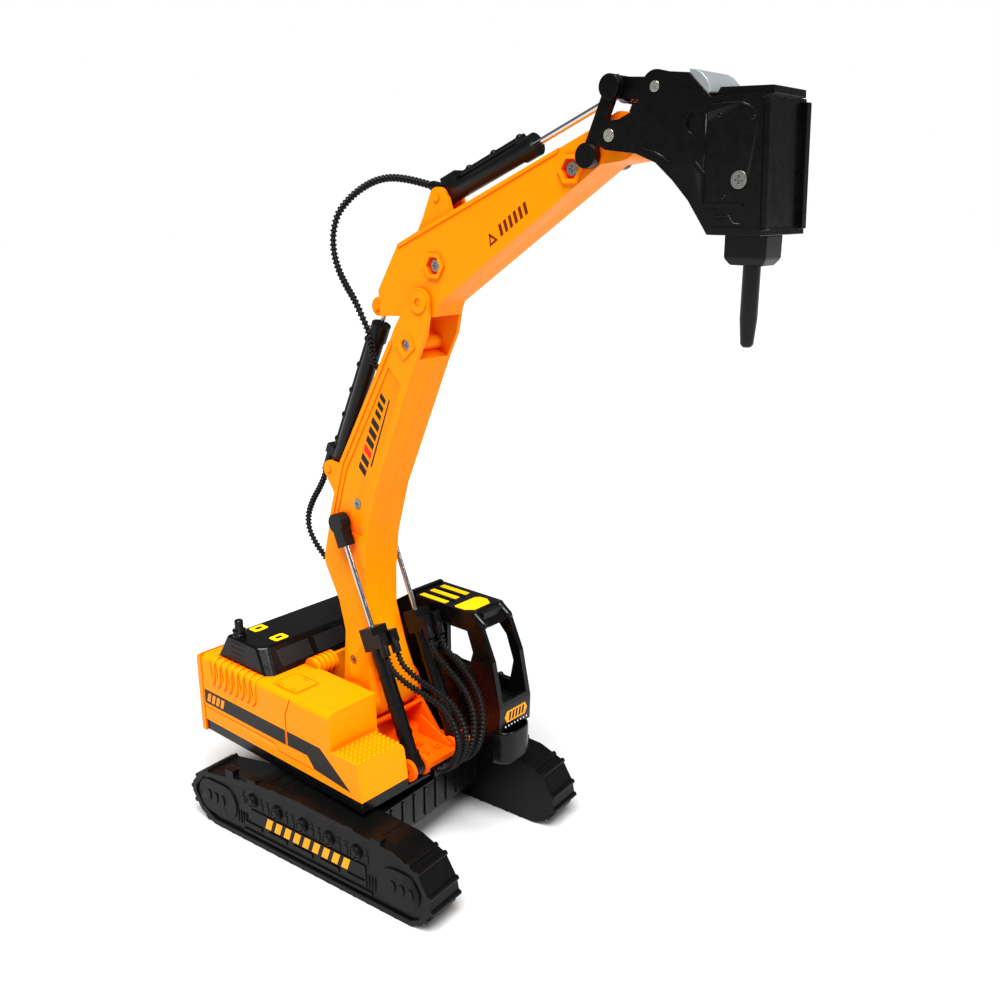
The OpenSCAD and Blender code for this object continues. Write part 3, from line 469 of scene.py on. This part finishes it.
def add_sweep(bm, path, radii, sides=10, closed=False):
    """A round bar along a path, with a radius for each point."""
    turns = [2 * pi * k / sides for k in range(sides)]
    rings = [
        [bm.verts.new(point + r * (cos(a) * side + sin(a) * other)) for a in turns]
        for (point, side, other), r in zip(frames_along(path), radii)
    ]
    pairs = list(zip(rings, rings[1:])) + ([(rings[-1], rings[0])] if closed else [])
    for a, b in pairs:
        for k in range(sides):
            m = (k + 1) % sides
            bm.faces.new((a[k], a[m], b[m], b[k]))
    if not closed:
        bm.faces.new(rings[0])
        bm.faces.new(rings[-1])


def add_turned(bm, centre, axis, profile, sides=24):
    """A solid of revolution; profile is (radius, distance along the axis), and starts and ends on the axis."""
    axis = Vector(axis).normalized()
    across = axis.orthogonal().normalized()
    other = axis.cross(across)
    turns = [2 * pi * k / sides for k in range(sides)]
    rings = []
    for radius, distance in profile:
        middle = Vector(centre) + axis * distance
        around = [middle + radius * (cos(a) * across + sin(a) * other) for a in turns]
        rings.append([bm.verts.new(p) for p in ([middle] if radius < 0.001 else around)])
    for a, b in zip(rings, rings[1:]):
        for k in range(sides):
            m = (k + 1) % sides
            corners = [a[k % len(a)], a[m % len(a)], b[m % len(b)], b[k % len(b)]]
            bm.faces.new([v for i, v in enumerate(corners) if v not in corners[:i]])


def dome(radius, height):
    """Profile of a low round bump."""
    return [(0, -0.3), (radius, -0.3), (radius, 0.1 * height), (0.8 * radius, 0.7 * height), (0, height)]


def smooth_through(points, steps=8):
    """A smooth line through the given points, in equal parameter steps."""
    pts = [Vector(p) for p in points]
    pts = [2 * pts[0] - pts[1]] + pts + [2 * pts[-1] - pts[-2]]
    line = []
    for p0, p1, p2, p3 in zip(pts, pts[1:], pts[2:], pts[3:]):
        for k in range(steps):
            t = k / steps
            line.append(0.5 * (2 * p1 + (p2 - p0) * t + (2 * p0 - 5 * p1 + 4 * p2 - p3) * t * t
                        + (3 * p1 - p0 - 3 * p2 + p3) * t * t * t))
    return line + [pts[-2]]


def park(obj):
    """Turns a piece of the undercarriage to the angle at which the toy is parked."""
    obj.data.transform(Matrix.Rotation(PARK_ANGLE, 4, "Z"))
    return obj


# ---------------------------------------------------------------- operators


class TOY_OT_stage(bpy.types.Operator):
    """Camera, white floor and soft studio light"""

    bl_idname = "toy.stage"
    bl_label = "Stage"

    def execute(self, context):
        scene = context.scene
        scene.view_settings.view_transform = "Standard"
        azimuth, elevation = radians(40.79), radians(16.38)
        right = Vector((cos(azimuth), sin(azimuth), 0))
        back = Vector((sin(azimuth) * cos(elevation), -cos(azimuth) * cos(elevation), sin(elevation)))
        camera = bpy.data.objects.new("camera", bpy.data.cameras.new("camera"))
        scene.collection.objects.link(camera)
        camera.matrix_world = Matrix((right, back.cross(right), back)).transposed().to_4x4()
        camera.location = Vector((300.3, -269.1, 263.9)) * MM
        camera.data.lens = 36.8
        camera.data.sensor_width = 36
        camera.data.clip_start = 0.01
        scene.camera = camera
        # The room is dim, so that black plastic stays black, and shows as plain white paper behind the toy
        world = bpy.data.worlds.new("studio")
        scene.world = world
        world.use_nodes = True
        world.node_tree.nodes.clear()
        paper = add_node(world, "ShaderNodeBackground", {"Color": (1, 1, 1, 1), "Strength": 1.0})
        room = add_node(world, "ShaderNodeBackground", {"Color": (1, 1, 1, 1), "Strength": 0.16})
        seen = add_node(world, "ShaderNodeLightPath")
        both = add_node(world, "ShaderNodeMixShader", Fac=seen.outputs["Is Camera Ray"])
        world.node_tree.links.new(room.outputs[0], both.inputs[1])
        world.node_tree.links.new(paper.outputs[0], both.inputs[2])
        add_node(world, "ShaderNodeOutputWorld", Surface=both.outputs[0])
        bm = bmesh.new()
        bmesh.ops.create_grid(bm, x_segments=2, y_segments=2, size=6000)
        floor = object_from("floor", bm)
        board = new_material("matt_white_board")
        grain = add_node(board, "ShaderNodeTexNoise", {"Scale": 1 / (40 * MM), "Detail": 2.0})
        tone = add_node(board, "ShaderNodeMix", {"data_type": "RGBA"}, Factor=grain.outputs["Fac"])
        tone.inputs[6].default_value = colour("#C6C6C6")
        tone.inputs[7].default_value = colour("#C9C9C9")
        matt = add_node(board, "ShaderNodeBsdfPrincipled", {"Roughness": 0.9, "Specular IOR Level": 0.1},
                        Base_Color=tone.outputs[2])
        add_node(board, "ShaderNodeOutputMaterial", Surface=matt.outputs["BSDF"])
        floor.data.materials.append(board)
        lamps = (("key", (0.30, -0.34, 0.89), 6.4, 34), ("rim", (0.8, 0.2, 0.45), 0.9, 16))
        for name, towards, strength, spread in lamps:
            light = bpy.data.lights.new(name, "SUN")
            light.energy = strength
            light.angle = radians(spread)
            lamp = bpy.data.objects.new(name, light)
            scene.collection.objects.link(lamp)
            lamp.rotation_euler = Vector(towards).to_track_quat("Z", "Y").to_euler()
        return {"FINISHED"}


class TOY_OT_undercarriage(bpy.types.Operator):
    """Tracks with their shoes, rollers, hazard bars, chassis and hidden wheels"""

    bl_idname = "toy.undercarriage"
    bl_label = "Undercarriage"

    def execute(self, context):
        remould("black", "chassis", width=0.5)
        remould("satin_black", "track_right", "track_left", width=0.6)
        remould("satin_black", "roller_panel_right", "roller_panel_left", width=0.3)
        remould("satin_black", "wheel_front_right", "wheel_front_left", "wheel_rear_right", "wheel_rear_left")
        remould("zinc", "wheel_pins", "chassis_screws", "slew_screw", width=0.15)
        for side, s in (("right", -1), ("left", 1)):
            self.hazard_bars(side, s)
            self.roller_trim(side, s)
            self.shoe_plates(side, s)
        return {"FINISHED"}

    def hazard_bars(self, side, s):
        bars = [slanted(x, x + 3.3, 10.9, 15.9, 1.9) for x in [-22 + 5.5 * i for i in range(9)]]
        marks = printed("hazard_bars_" + side, bars, s * PANEL_FACE, s, "xz", "undercarriage", "hazard_ink")
        park(marks)

    def roller_trim(self, side, s):
        """Rings and bolts on the rollers, spring ribs at both ends, and brackets between."""
        bm = bmesh.new()
        face = s * 49.8
        out = Vector((0, s, 0))
        for i in range(-2, 3):
            x = 15 * i
            add_turned(bm, (x, face, 20.5), out, [(0, 0.1), (1.3, 0.1), (1.5, 0.1), (1.5, 0.35), (0, 0.45)])
            turns = [pi / 8 * k for k in range(16)]
            ring = [Vector((x + 2.4 * cos(a), face, 20.5 + 2.4 * sin(a))) for a in turns]
            add_sweep(bm, ring, [0.4] * 16, 6, closed=True)
            for dx in (-5.6, 5.6):
                add_turned(bm, (x + dx, s * 48.8, 22.6), out, dome(0.9, 0.7), 12)
                bracket = rounded(x + dx - 0.9, 17.2, x + dx + 0.9, 21.2, 0.4, 2)
                add_slab(bm, bracket, *sorted((s * 48.6, s * 49.2)))
        for start in (-39.4, 34.8):
            for k in range(4):
                x = start + 1.6 * k
                spring = [Vector((x, s * 49.0, z)) for z in (6.6, 8, 10, 12, 13)]
                add_sweep(bm, spring, [0.25, 0.5, 0.55, 0.5, 0.25], 8)
        trim = park(object_from("roller_trim_" + side, bm))
        soft_edges(trim, 0.1, 1)
        fit(trim, "undercarriage", "satin_black")

    def shoe_plates(self, side, s):
        """Broad shallow plates over the top run of the track, with a groove between neighbours."""
        bm = bmesh.new()
        inner, outer = sorted((s * 33.6, s * 46.4))
        run = [(-27, 30.42), (-14, 31.12), (0, 31.8), (17, 31.4), (34, 30.3), (49, 29.26)]
        for (x0, z0), (x1, z1) in zip(run, run[1:]):
            for k in range(2):
                a, b = (k + 0.06) / 2, (k + 0.94) / 2
                outline = [(x0 + (x1 - x0) * t, z0 + (z1 - z0) * t + dz) for t, dz in
                           ((a, -0.3), (b, -0.3), (b, 0.25), (a, 0.25))]
                add_slab(bm, outline, inner, outer)
        plates = park(object_from("shoe_plates_" + side, bm))
        soft_edges(plates, 0.2)
        fit(plates, "undercarriage", "satin_black")


class TOY_OT_house(bpy.types.Operator):
    """Body shell with its stripe, ribs and hatch, the counterweight, the deck and the boom's seat"""

    bl_idname = "toy.house"
    bl_label = "Body"

    def execute(self, context):
        remould("orange", "body_shell", width=1.4, segments=4, flat_x=-72)
        remould("orange", "counterweight", width=1.0, segments=3, flat_x=-72)
        # The boom's seat gets the orange with painted bounce light, redder than the rest.
        remould("bounce_lit_orange", "boom_seat", width=0.4)
        remould("black", "turntable_base", "hose_manifold", width=0.4)
        remould("black", "boom_pin", width=0.3)
        remould("zinc", "cylinder_foot_pins", "body_screws", width=0.15)
        rear = [(-71.2, 47.2), (-13.7, 47.2), (-13.7, 53.8), (-71.2, 53.8)]
        front = [(-12.3, 47.4), (0.3, 47.6), (4.6, 42.9), (26.2, 41.1), (8.4, 53.8), (-12.3, 53.8)]
        printed("side_stripe_right", [rear, front], BODY_RIGHT, -1, "xz", "upper", "black_ink")
        left = [(-71.2, 47.2), (-12.6, 47.2), (-12.6, 53.8), (-71.2, 53.8)]
        printed("side_stripe_left", [left], -BODY_RIGHT, 1, "xz", "upper", "black_ink")
        for name, side in (("right", -1), ("left", 1)):
            bars = [slanted(x, x + 2.2, 48.4, 52.6, 1.4) for x in (-69.5, -66.2, -62.9, -59.6)]
            level = -side * BODY_RIGHT + side * 0.1
            printed("stripe_bars_" + name, bars, level, side, "xz", "upper", "orange_ink")
        self.step_studs()
        self.vent_ribs("right", -1)
        self.vent_ribs("left", 1)
        self.hatch()
        return {"FINISHED"}

    def vent_ribs(self, name, s):
        """Hooked ribs that run over the rounded top edge and down the side."""
        bm = bmesh.new()
        wide, r = abs(BODY_RIGHT), 3.0
        for i in range(8):
            x = -62.4 + 4.2 * i
            over = [(wide - r + r * sin(radians(a)), DECK_TOP - r + r * cos(radians(a)))
                    for a in range(0, 91, 15)]
            path = [Vector((x, s * (wide - 5), DECK_TOP))] + [Vector((x, s * y, z)) for y, z in over]
            hook = ((0, 64), (0.1, 61.5), (0.5, 59.6), (1.4, 58.7), (2.4, 58.5))
            path += [Vector((x - dx, s * wide, z)) for dx, z in hook]
            add_sweep(bm, path, [0.3] + [0.85] * (len(path) - 3) + [0.75, 0.3], 10)
        ribs = object_from("vent_ribs_" + name, bm)
        ribs.data.shade_smooth()
        fit(ribs, "upper", "orange")

    def step_studs(self):
        """Round studs that keep a boot from slipping on the step."""
        bm = bmesh.new()
        for i in range(6):
            for j in range(9):
                add_turned(bm, (17 + 2.5 * i, -38.8 + 2.5 * j, 54.45), (0, 0, 1), dome(1.0, 0.62), 14)
        studs = object_from("step_studs", bm)
        studs.data.shade_smooth()
        fit(studs, "upper", "orange")

    def hatch(self):
        """Rounded bead round the access hatch, its hinge marks, and the ejector marks on the hood."""
        bm = bmesh.new()
        outline = rounded(-24.6, -38.3, -8.6, -25.0, 1.4)
        bead = [Vector((x, y, DECK_TOP)) for x, y in outline]
        bead = [p for i, p in enumerate(bead) if (p - bead[i - 1]).length > 0.05]
        add_sweep(bm, bead, [0.3] * len(bead), 6, closed=True)
        for x, y in ((-20.5, -36.6), (-12, -36.6), (-16, -26.8)):
            hinge = rounded(x - 1.3, y - 0.6, x + 1.3, y + 0.6, 0.4, 3)
            add_slab(bm, hinge, DECK_TOP + 0.2, DECK_TOP + 0.75, "xy")
        for x, y in ((-3, -36.5), (11.5, -35.5), (12, -20), (-4, -19)):
            add_turned(bm, (x, y, DECK_TOP), (0, 0, 1), dome(0.8, 0.35), 16)
        marks = object_from("hatch_bead", bm)
        marks.data.shade_smooth()
        fit(marks, "upper", "orange")


class TOY_OT_engine_cover(bpy.types.Operator):
    """Engine cover with its labels, mesh, slatted sides and air cleaner"""

    bl_idname = "toy.engine_cover"
    bl_label = "Engine cover"

    def execute(self, context):
        remould("black", "engine_cover", width=1.0, segments=3)
        remould("black", "air_cleaner", width=0.25)
        top = COVER_TOP
        labels = []
        patches = []
        for x, y in ((-55.4, -21.2), (-40.6, -21.4)):
            labels.append([(x - 2.2, y - 3.6), (x + 2.2, y - 3.6), (x + 2.8, y - 2.4), (x + 2.8, y + 2.4),
                           (x + 2.2, y + 3.6), (x - 2.2, y + 3.6), (x - 2.8, y + 2.4), (x - 2.8, y - 2.4)])
            patches.append(rounded(x - 0.9, y - 1.6, x + 0.9, y + 1.6, 0.3, 2))
        printed("cover_labels", labels, top, 1, "xy", "upper", "yellow_ink")
        printed("cover_label_centres", patches, top + 0.1, 1, "xy", "upper", "black_ink")
        self.mesh_patch(top)
        self.slats()
        return {"FINISHED"}

    def mesh_patch(self, top):
        """Rows of small studs over the radiator, staggered row by row."""
        bm = bmesh.new()
        for i in range(12):
            for j in range(17):
                x, y = -57 + 1.7 * i, -2 + 1.7 * j + 0.85 * (i % 2)
                add_turned(bm, (x, y, top), (0, 0, 1), [(0, -0.1), (0.5, -0.1), (0.35, 0.3), (0, 0.3)], 6)
        studs = object_from("cover_mesh", bm)
        fit(studs, "upper", "slate_black")

    def slats(self):
        """Slats on the near slope and a framed panel on the front slope of the cover."""
        bm = bmesh.new()
        for k in range(4):
            t = 0.2 + 0.2 * k
            y = -36.5 + 2.0 * t
            z = DECK_TOP + (COVER_TOP - DECK_TOP) * t
            add_sweep(bm, [Vector((x, y, z)) for x in (-57, -56, -48, -47)], [0.15, 0.35, 0.35, 0.15], 6)
        low, high = Vector((-29.2, 0, DECK_TOP + 0.3)), Vector((-35.8, 0, COVER_TOP - 0.4))
        slope = (high - low).normalized()
        out = Vector((slope.z, 0, -slope.x))
        for y0 in (-28, -8, 12):
            corners = [low + slope * a + out * 0.05 + Vector((0, y, 0)) for a, y in
                       ((2, y0), (9.6, y0), (9.6, y0 + 17), (2, y0 + 17))]
            raised = [c + out * 0.25 for c in corners]
            verts = [[bm.verts.new(c) for c in ring] for ring in ([c - out * 0.3 for c in corners], raised)]
            bm.faces.new(verts[0])
            bm.faces.new(verts[1])
            for i in range(4):
                bm.faces.new((verts[0][i], verts[0][(i + 1) % 4], verts[1][(i + 1) % 4], verts[1][i]))
        trim = object_from("cover_trim", bm)
        soft_edges(trim, 0.15, 2)
        fit(trim, "upper", "slate_black")


class TOY_OT_cab(bpy.types.Operator):
    """Cab shell with its roof marks, plaque and lamps, the seat, the controls and the bumper"""

    bl_idname = "toy.cab"
    bl_label = "Cab"

    def execute(self, context):
        remould("black", "cab_shell", width=0.7, segments=3)
        self.bumper()
        remould("satin_black", "cab_seat", width=0.8, segments=3)
        remould("black", "cab_console", width=0.3)
        roof = [rounded(2.6, y, 18, y + 2.9, 0.3, 2) for y in (22.2, 28.6, 35.0)]
        roof.append([(23.0, 23), (23.0, 35.5), (24.5, 37.4), (28.4, 37.6), (32.2, 35), (32.5, 25.4),
                     (29.2, 22.4), (24.0, 22.2)])
        printed("roof_marks", roof, ROOF_TOP, 1, "xy", "upper", "yellow_ink")
        plaque = [(24.2, 55), (25.6, 52.4), (37.4, 52.4), (38.8, 55), (37.4, 57.6), (25.6, 57.6)]
        printed("cab_plaque", [plaque], CAB_FRONT - 0.1, 1, "yz", "upper", "hazard_ink")
        bars = [slanted(y, y + 1.1, 53.2, 56.8, 0.7) for y in (26.6, 28.7, 30.8, 32.9, 35.0)]
        printed("cab_plaque_bars", bars, CAB_FRONT, 1, "yz", "upper", "black_ink")
        dots = [rounded(y, 50.2, y + 0.7, 50.9, 0.3, 2) for y in [24.6 + 1.95 * i for i in range(8)]]
        printed("cab_dots", dots, CAB_FRONT - 0.2, 1, "yz", "upper", "white_ink")
        self.trim()
        return {"FINISHED"}

    def bumper(self):
        """Hollow bumper that bulges forwards, with rounded lips."""
        bm = bmesh.new()
        rings = []
        for z, share, back in ((33.7, 0.94, 46.1), (34.3, 0.98, 46.1), (35.6, 1.0, 46.1), (47.2, 1.0, 46.1),
                               (48.1, 0.985, 46.1), (48.4, 0.95, 46.1), (48.1, 0.90, 47.0), (47.2, 0.88, 47.2),
                               (41, 0.86, 47.2)):
            curve = [(46.1 + 6.7 * share * (1 - abs(u) ** 3.2) ** 0.6, 31 + 9.9 * share * u)
                     for u in [i / 12 - 1 for i in range(25)]]
            rings.append([bm.verts.new((max(x, back), y, z)) for x, y in curve])
        bm.faces.new(rings[0])
        bm.faces.new(rings[-1])
        for low, high in zip(rings, rings[1:]):
            for i in range(len(low)):
                j = (i + 1) % len(low)
                bm.faces.new((low[i], low[j], high[j], high[i]))
        bumper = object_from("cab_bumper_bulged", bm)
        bumper.data.shade_smooth()
        bumper.data.set_sharp_from_angle(angle=radians(40))
        fit(bumper, "upper", "black", ["cab_bumper"])

    def trim(self):
        """Beads round the windows, roof seams, lamp lenses and a door handle."""
        bm = bmesh.new()
        near_window = [(3, 77), (24, 77), (33, 74), (35.5, 82), (32, 91), (3, 91)]
        door_window = [(3, 64), (40, 64), (42, 74), (38, 85), (32, 91), (3, 91)]
        for y, window in ((21.0, near_window), (41.0, door_window)):
            add_sweep(bm, [Vector((x, y, z)) for x, z in window], [0.45] * 6, 6, closed=True)
        for y in (26.75, 33.25):
            add_slab(bm, rounded(1.5, y - 0.4, 19.5, y + 0.4, 0.2, 2), ROOF_TOP - 0.1, ROOF_TOP + 0.35, "xy")
        for y in (23.3, 38.7):
            add_turned(bm, (39.8, y, 94.2), (0.75, 0, -0.66), [(0, 0), (1.5, 0), (1.4, 0.9), (0, 1.2)], 16)
        handle = [Vector((28, y, z)) for y, z in ((21, 66), (20.3, 65.6), (20.2, 63), (20.3, 60.4), (21, 60))]
        add_sweep(bm, handle, [0.5] * 5, 8)
        trim = object_from("cab_trim", bm)
        soft_edges(trim, 0.12, 2)
        fit(trim, "upper", "black")


class TOY_OT_boom(bpy.types.Operator):
    """Boom halves with their printed mark, screws and the arm's pin"""

    bl_idname = "toy.boom"
    bl_label = "Boom"

    def execute(self, context):
        remould("orange", "boom_right", "boom_left", width=0.45, segments=3)
        remould("zinc", "boom_screws", width=0.15)
        remould("orange", "arm_pin", width=0.2)
        start, direction = (0.8, 158.5), (0.40, 0.916)
        for name, face, side in (("right", BOOM_PANEL, -1), ("left", 2 * BOOM_Y - BOOM_PANEL, 1)):
            black = [[(u, -1.6), (u + 2.6, -1.6), (u + 4.4, 3.0), (u + 1.8, 3.0)]
                     for u in (0, 4.2, 12.6, 16.8, 21)]
            black += [[(u, -1.0), (u + 2.0, -1.0), (u + 3.4, 2.4), (u + 1.4, 2.4)]
                      for u in (26, 29.6, 33.2)]
            black.append([(6, -3.6), (36, -3.0), (36.6, -2.5), (6, -2.9)])
            red = [[(8.4, -1.6), (11, -1.6), (12.8, 3.0), (10.2, 3.0)]]
            for part, shapes, finish in (("bars", black, "black_ink"), ("red_bar", red, "red_ink")):
                outlines = [along_line(shape, start, direction) for shape in shapes]
                printed(f"boom_{part}_{name}", outlines, face, side, "xz", "boom", finish)
        return {"FINISHED"}


class TOY_OT_arm(bpy.types.Operator):
    """Arm halves with their printed mark and screws"""

    bl_idname = "toy.arm"
    bl_label = "Arm"

    def execute(self, context):
        remould("orange", "arm_right", "arm_left", width=0.45, segments=3)
        remould("zinc", "arm_screws", width=0.15)
        for name, face, side in (("right", ARM_FACE, -1), ("left", 2 * BOOM_Y - ARM_FACE, 1)):
            shapes = [[(0, -1.8), (4.4, -1.8), (2.2, 2.0), (1.7, 1.3), (3.4, -1.2), (0.9, -1.2)],
                      [(0.5, -1.5), (1.0, -1.5), (2.3, 1.5), (2.2, 2.0)]]
            shapes += [slanted(u, u + 1.2, -1.7, 2.0, 0.9) for u in (6.2, 8.7, 11.2, 13.7, 16.2, 18.7)]
            outlines = [along_line(shape, (66.5, 250.2), (0.833, 0.553)) for shape in shapes]
            printed("arm_mark_" + name, outlines, face, side, "xz", "arm", "brown_ink")
        return {"FINISHED"}


class TOY_OT_tool(bpy.types.Operator):
    """Breaker halves, chisel, a silver-grey piece painting a reflection on its top, and the rockers, link and pins
    that swing it
    """

    bl_idname = "toy.tool"
    bl_label = "Breaker and linkage"

    def execute(self, context):
        remould("black", "breaker_right", "breaker_left", width=0.5, segments=3)
        remould("black", "chisel_holder", "rocker_pin", "link", width=0.5, segments=3)
        remould("black", "chisel", width=0.3)
        remould("black", "rockers", width=1.1, segments=4)
        remould("nickel", "tool_pin", "link_pin", width=0.3)
        remould("zinc", "breaker_screws", width=0.15)
        self.top_reflection()
        self.side_ribs()
        return {"FINISHED"}

    def top_reflection(self):
        """Silver-grey piece bowed over the slope of the breaker's head: a painted reflection of the white studio
        on its glossy black top.
        """
        low, high = node_box("breaker_top_plate")
        bow = [(144.4, 297.9), (146.4, 297.6), (148.4, 296.6), (150.0, 295.0), (151.0, 293.2), (151.3, 291.6)]
        under = [(150.7, 291.2), (149.2, 292.6), (147.2, 294.5), (144.9, 296.7)]
        reflection_piece = slabs("breaker_top_reflection", [bow + under], low.y, high.y)
        soft_edges(reflection_piece, 0.25, 3, 40)
        fit(reflection_piece, "breaker", "painted_reflection", ["breaker_top_plate"])

    def side_ribs(self):
        """Moulded ribs and ejector marks on both sides of the breaker."""
        bm = bmesh.new()
        for s in (-1, 1):
            face = BOOM_Y + s * 12.75
            for path in ([(152, 288.5), (160, 288.8), (164.5, 287)], [(150.4, 286), (150.6, 276), (150.2, 270)],
                         [(154.5, 259.6), (159, 259.6), (160.4, 257.6), (163, 257.4)],
                         [(128, 279), (134, 277), (140, 274)]):
                line = [Vector((x, face, z)) for x, z in path]
                add_sweep(bm, line, [0.3] * len(line), 8)
            for x, z in ((154.5, 285.5), (164.5, 284.5), (157, 264.5)):
                add_turned(bm, (x, face, z), (0, s, 0), dome(0.7, 0.25), 12)
        ribs = object_from("breaker_ribs", bm)
        ribs.data.shade_smooth()
        fit(ribs, "breaker", "black")


class TOY_OT_cylinders(bpy.types.Operator):
    """Barrels, chromed rods and caps of the four cylinders"""

    bl_idname = "toy.cylinders"
    bl_label = "Cylinders"

    def execute(self, context):
        barrels = ("boom_barrel_right", "boom_barrel_left", "arm_barrel", "tool_barrel")
        remould("grained_black", *barrels, width=0.4)
        remould("grained_black", "rod_cap_right", "rod_cap_left", width=0.9, segments=3)
        remould("chrome", "boom_rod_right", "boom_rod_left", "arm_rod", "tool_rod", width=0.1)
        return {"FINISHED"}


ROUTES = {
    "hose_right_outer": [(19, -13, 86.7), (22, -12.5, 81.5), (29, -11, 77), (37, -9.5, 74.5), (44, -8, 71.5),
                         (49, -7, 66.5), (51, -6, 60), (50, -4.5, 53), (46.5, -3.5, 46), (41.5, -2, 40),
                         (34.2, -1, 36)],
    "hose_right_inner": [(19, -7, 86.7), (22, -6.5, 81.5), (29, -5, 77), (37, -4, 74.5), (44, -3, 71.5),
                         (49, -2.5, 66.5), (51, -1.5, 60), (50, -0.5, 53), (46.5, 0.5, 46), (41.5, 1.5, 40),
                         (34.2, 2.5, 36)],
    "hose_left_inner": [(19, 12, 86.7), (22, 11.5, 81.5), (28, 11, 77.5), (35, 10, 74.5), (41, 9.5, 70.5),
                        (45.5, 8.5, 65.5), (47.5, 8, 59), (47.5, 7, 52.5), (45.5, 6.5, 46), (41, 6, 40),
                        (34.2, 5.8, 36)],
    "hose_left_outer": [(19, 18, 86.7), (22, 17.5, 81.5), (29, 16.5, 78.5), (36.5, 15, 75.5), (42.5, 14, 71),
                        (46.5, 13, 65.5), (48.5, 12, 59), (48.5, 11, 52.5), (46.5, 10.5, 46), (41.5, 9.6, 40),
                        (34.2, 8.8, 36)],
    "hose_arm": [(-32, 2.5, 153.2), (-34, 2.5, 149), (-37.5, 2.5, 143.8), (-42, 2.5, 137.8), (-45.5, 2.5, 131),
                 (-45.8, 2.5, 124.5), (-42.5, 2.5, 118.8), (-37.5, 2.5, 114.4), (-32, 2.5, 110.6),
                 (-26, 2.5, 107), (-20.5, 2.5, 104.2), (-16.5, 2.5, 102.4)],
    "hose_tool": [(34.5, 2.5, 268.5), (28.5, 2.3, 269.8), (21.5, 1.8, 271), (14, 1.2, 271.5), (7, 0.5, 270.5),
                  (0, 0, 268), (-6.5, -1, 264), (-12, -2, 258.5), (-14, -3, 251.5), (-13, -4, 244.5),
                  (-9.5, -5, 238), (-4.5, -6, 232.5), (1, -7, 227.5), (5, -7, 221.5), (7, -5.5, 215),
                  (6.5, -4, 208.5), (7.5, -3, 202.5), (12.6, -2.5, 199)],
}


class TOY_OT_hoses(bpy.types.Operator):
    """Six ringed hoses along their routes, in place of their CAD nodes"""

    bl_idname = "toy.hoses"
    bl_label = "Hoses"

    def execute(self, context):
        for node in HOSES:
            self.hose(node, context.scene.toy_sizes)
        return {"FINISHED"}

    def hose(self, node, sizes):
        line = smooth_through(ROUTES[node])
        lengths = [0.0]
        for a, b in zip(line, line[1:]):
            lengths.append(lengths[-1] + (b - a).length)
        core, ring, pitch = (v / MM for v in (sizes.hose_core, sizes.hose_ring, sizes.ring_pitch))
        count = round(lengths[-1] / pitch)
        step = lengths[-1] / count
        # One pitch of the profile: core, then a rounded ring, as (share of the pitch, radius)
        shoulder = 0.88 * ring
        profile = [(0.0, core), (0.42, core), (0.5, shoulder), (0.6, ring), (0.76, ring), (0.86, shoulder),
                   (0.93, core)]
        stations = [((i + t) * step, r) for i in range(count) for t, r in profile]
        stations.append((lengths[-1], core))
        path = []
        j = 0
        for distance, _ in stations:
            while j < len(lengths) - 2 and lengths[j + 1] < distance:
                j += 1
            share = (distance - lengths[j]) / (lengths[j + 1] - lengths[j])
            path.append(line[j].lerp(line[j + 1], share))
        bm = bmesh.new()
        add_sweep(bm, path, [r for _, r in stations], 10)
        obj = object_from(node + "_ringed", bm)
        obj.data.shade_smooth()
        obj.data.materials.append(finish_of("hose"))
        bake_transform(obj)
        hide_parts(node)


class TOY_PT_panel(bpy.types.Panel):
    """Lists the toy's pieces, its colours and its small sizes"""

    bl_label = "Toy Excavator"
    bl_idname = "TOY_PT_panel"
    bl_space_type = "VIEW_3D"
    bl_region_type = "UI"
    bl_category = "Toy Excavator"

    def draw(self, context):
        column = self.layout.column(align=True)
        for operator in OPERATORS:
            column.operator(operator.bl_idname)
        for settings in (context.scene.toy_colours, context.scene.toy_sizes):
            box = self.layout.box()
            for key in settings.__annotations__:
                box.prop(settings, key)


OPERATORS = (
    TOY_OT_stage,
    TOY_OT_hoses,
    TOY_OT_undercarriage,
    TOY_OT_house,
    TOY_OT_engine_cover,
    TOY_OT_cab,
    TOY_OT_boom,
    TOY_OT_arm,
    TOY_OT_tool,
    TOY_OT_cylinders,
)
CLASSES = (ToyColours, ToySizes, *OPERATORS, TOY_PT_panel)


def register():
    for cls in CLASSES:
        bpy.utils.register_class(cls)
    bpy.types.Scene.toy_colours = PointerProperty(type=ToyColours)
    bpy.types.Scene.toy_sizes = PointerProperty(type=ToySizes)


def unregister():
    del bpy.types.Scene.toy_sizes
    del bpy.types.Scene.toy_colours
    for cls in reversed(CLASSES):
        bpy.utils.unregister_class(cls)


def main():
    """Builds every piece round the frame."""
    register()
    bpy.ops.toy.stage()
    bpy.ops.toy.hoses()
    bpy.ops.toy.undercarriage()
    bpy.ops.toy.house()
    bpy.ops.toy.engine_cover()
    bpy.ops.toy.cab()
    bpy.ops.toy.boom()
    bpy.ops.toy.arm()
    bpy.ops.toy.tool()
    bpy.ops.toy.cylinders()


if __name__ == "__main__":
    main()
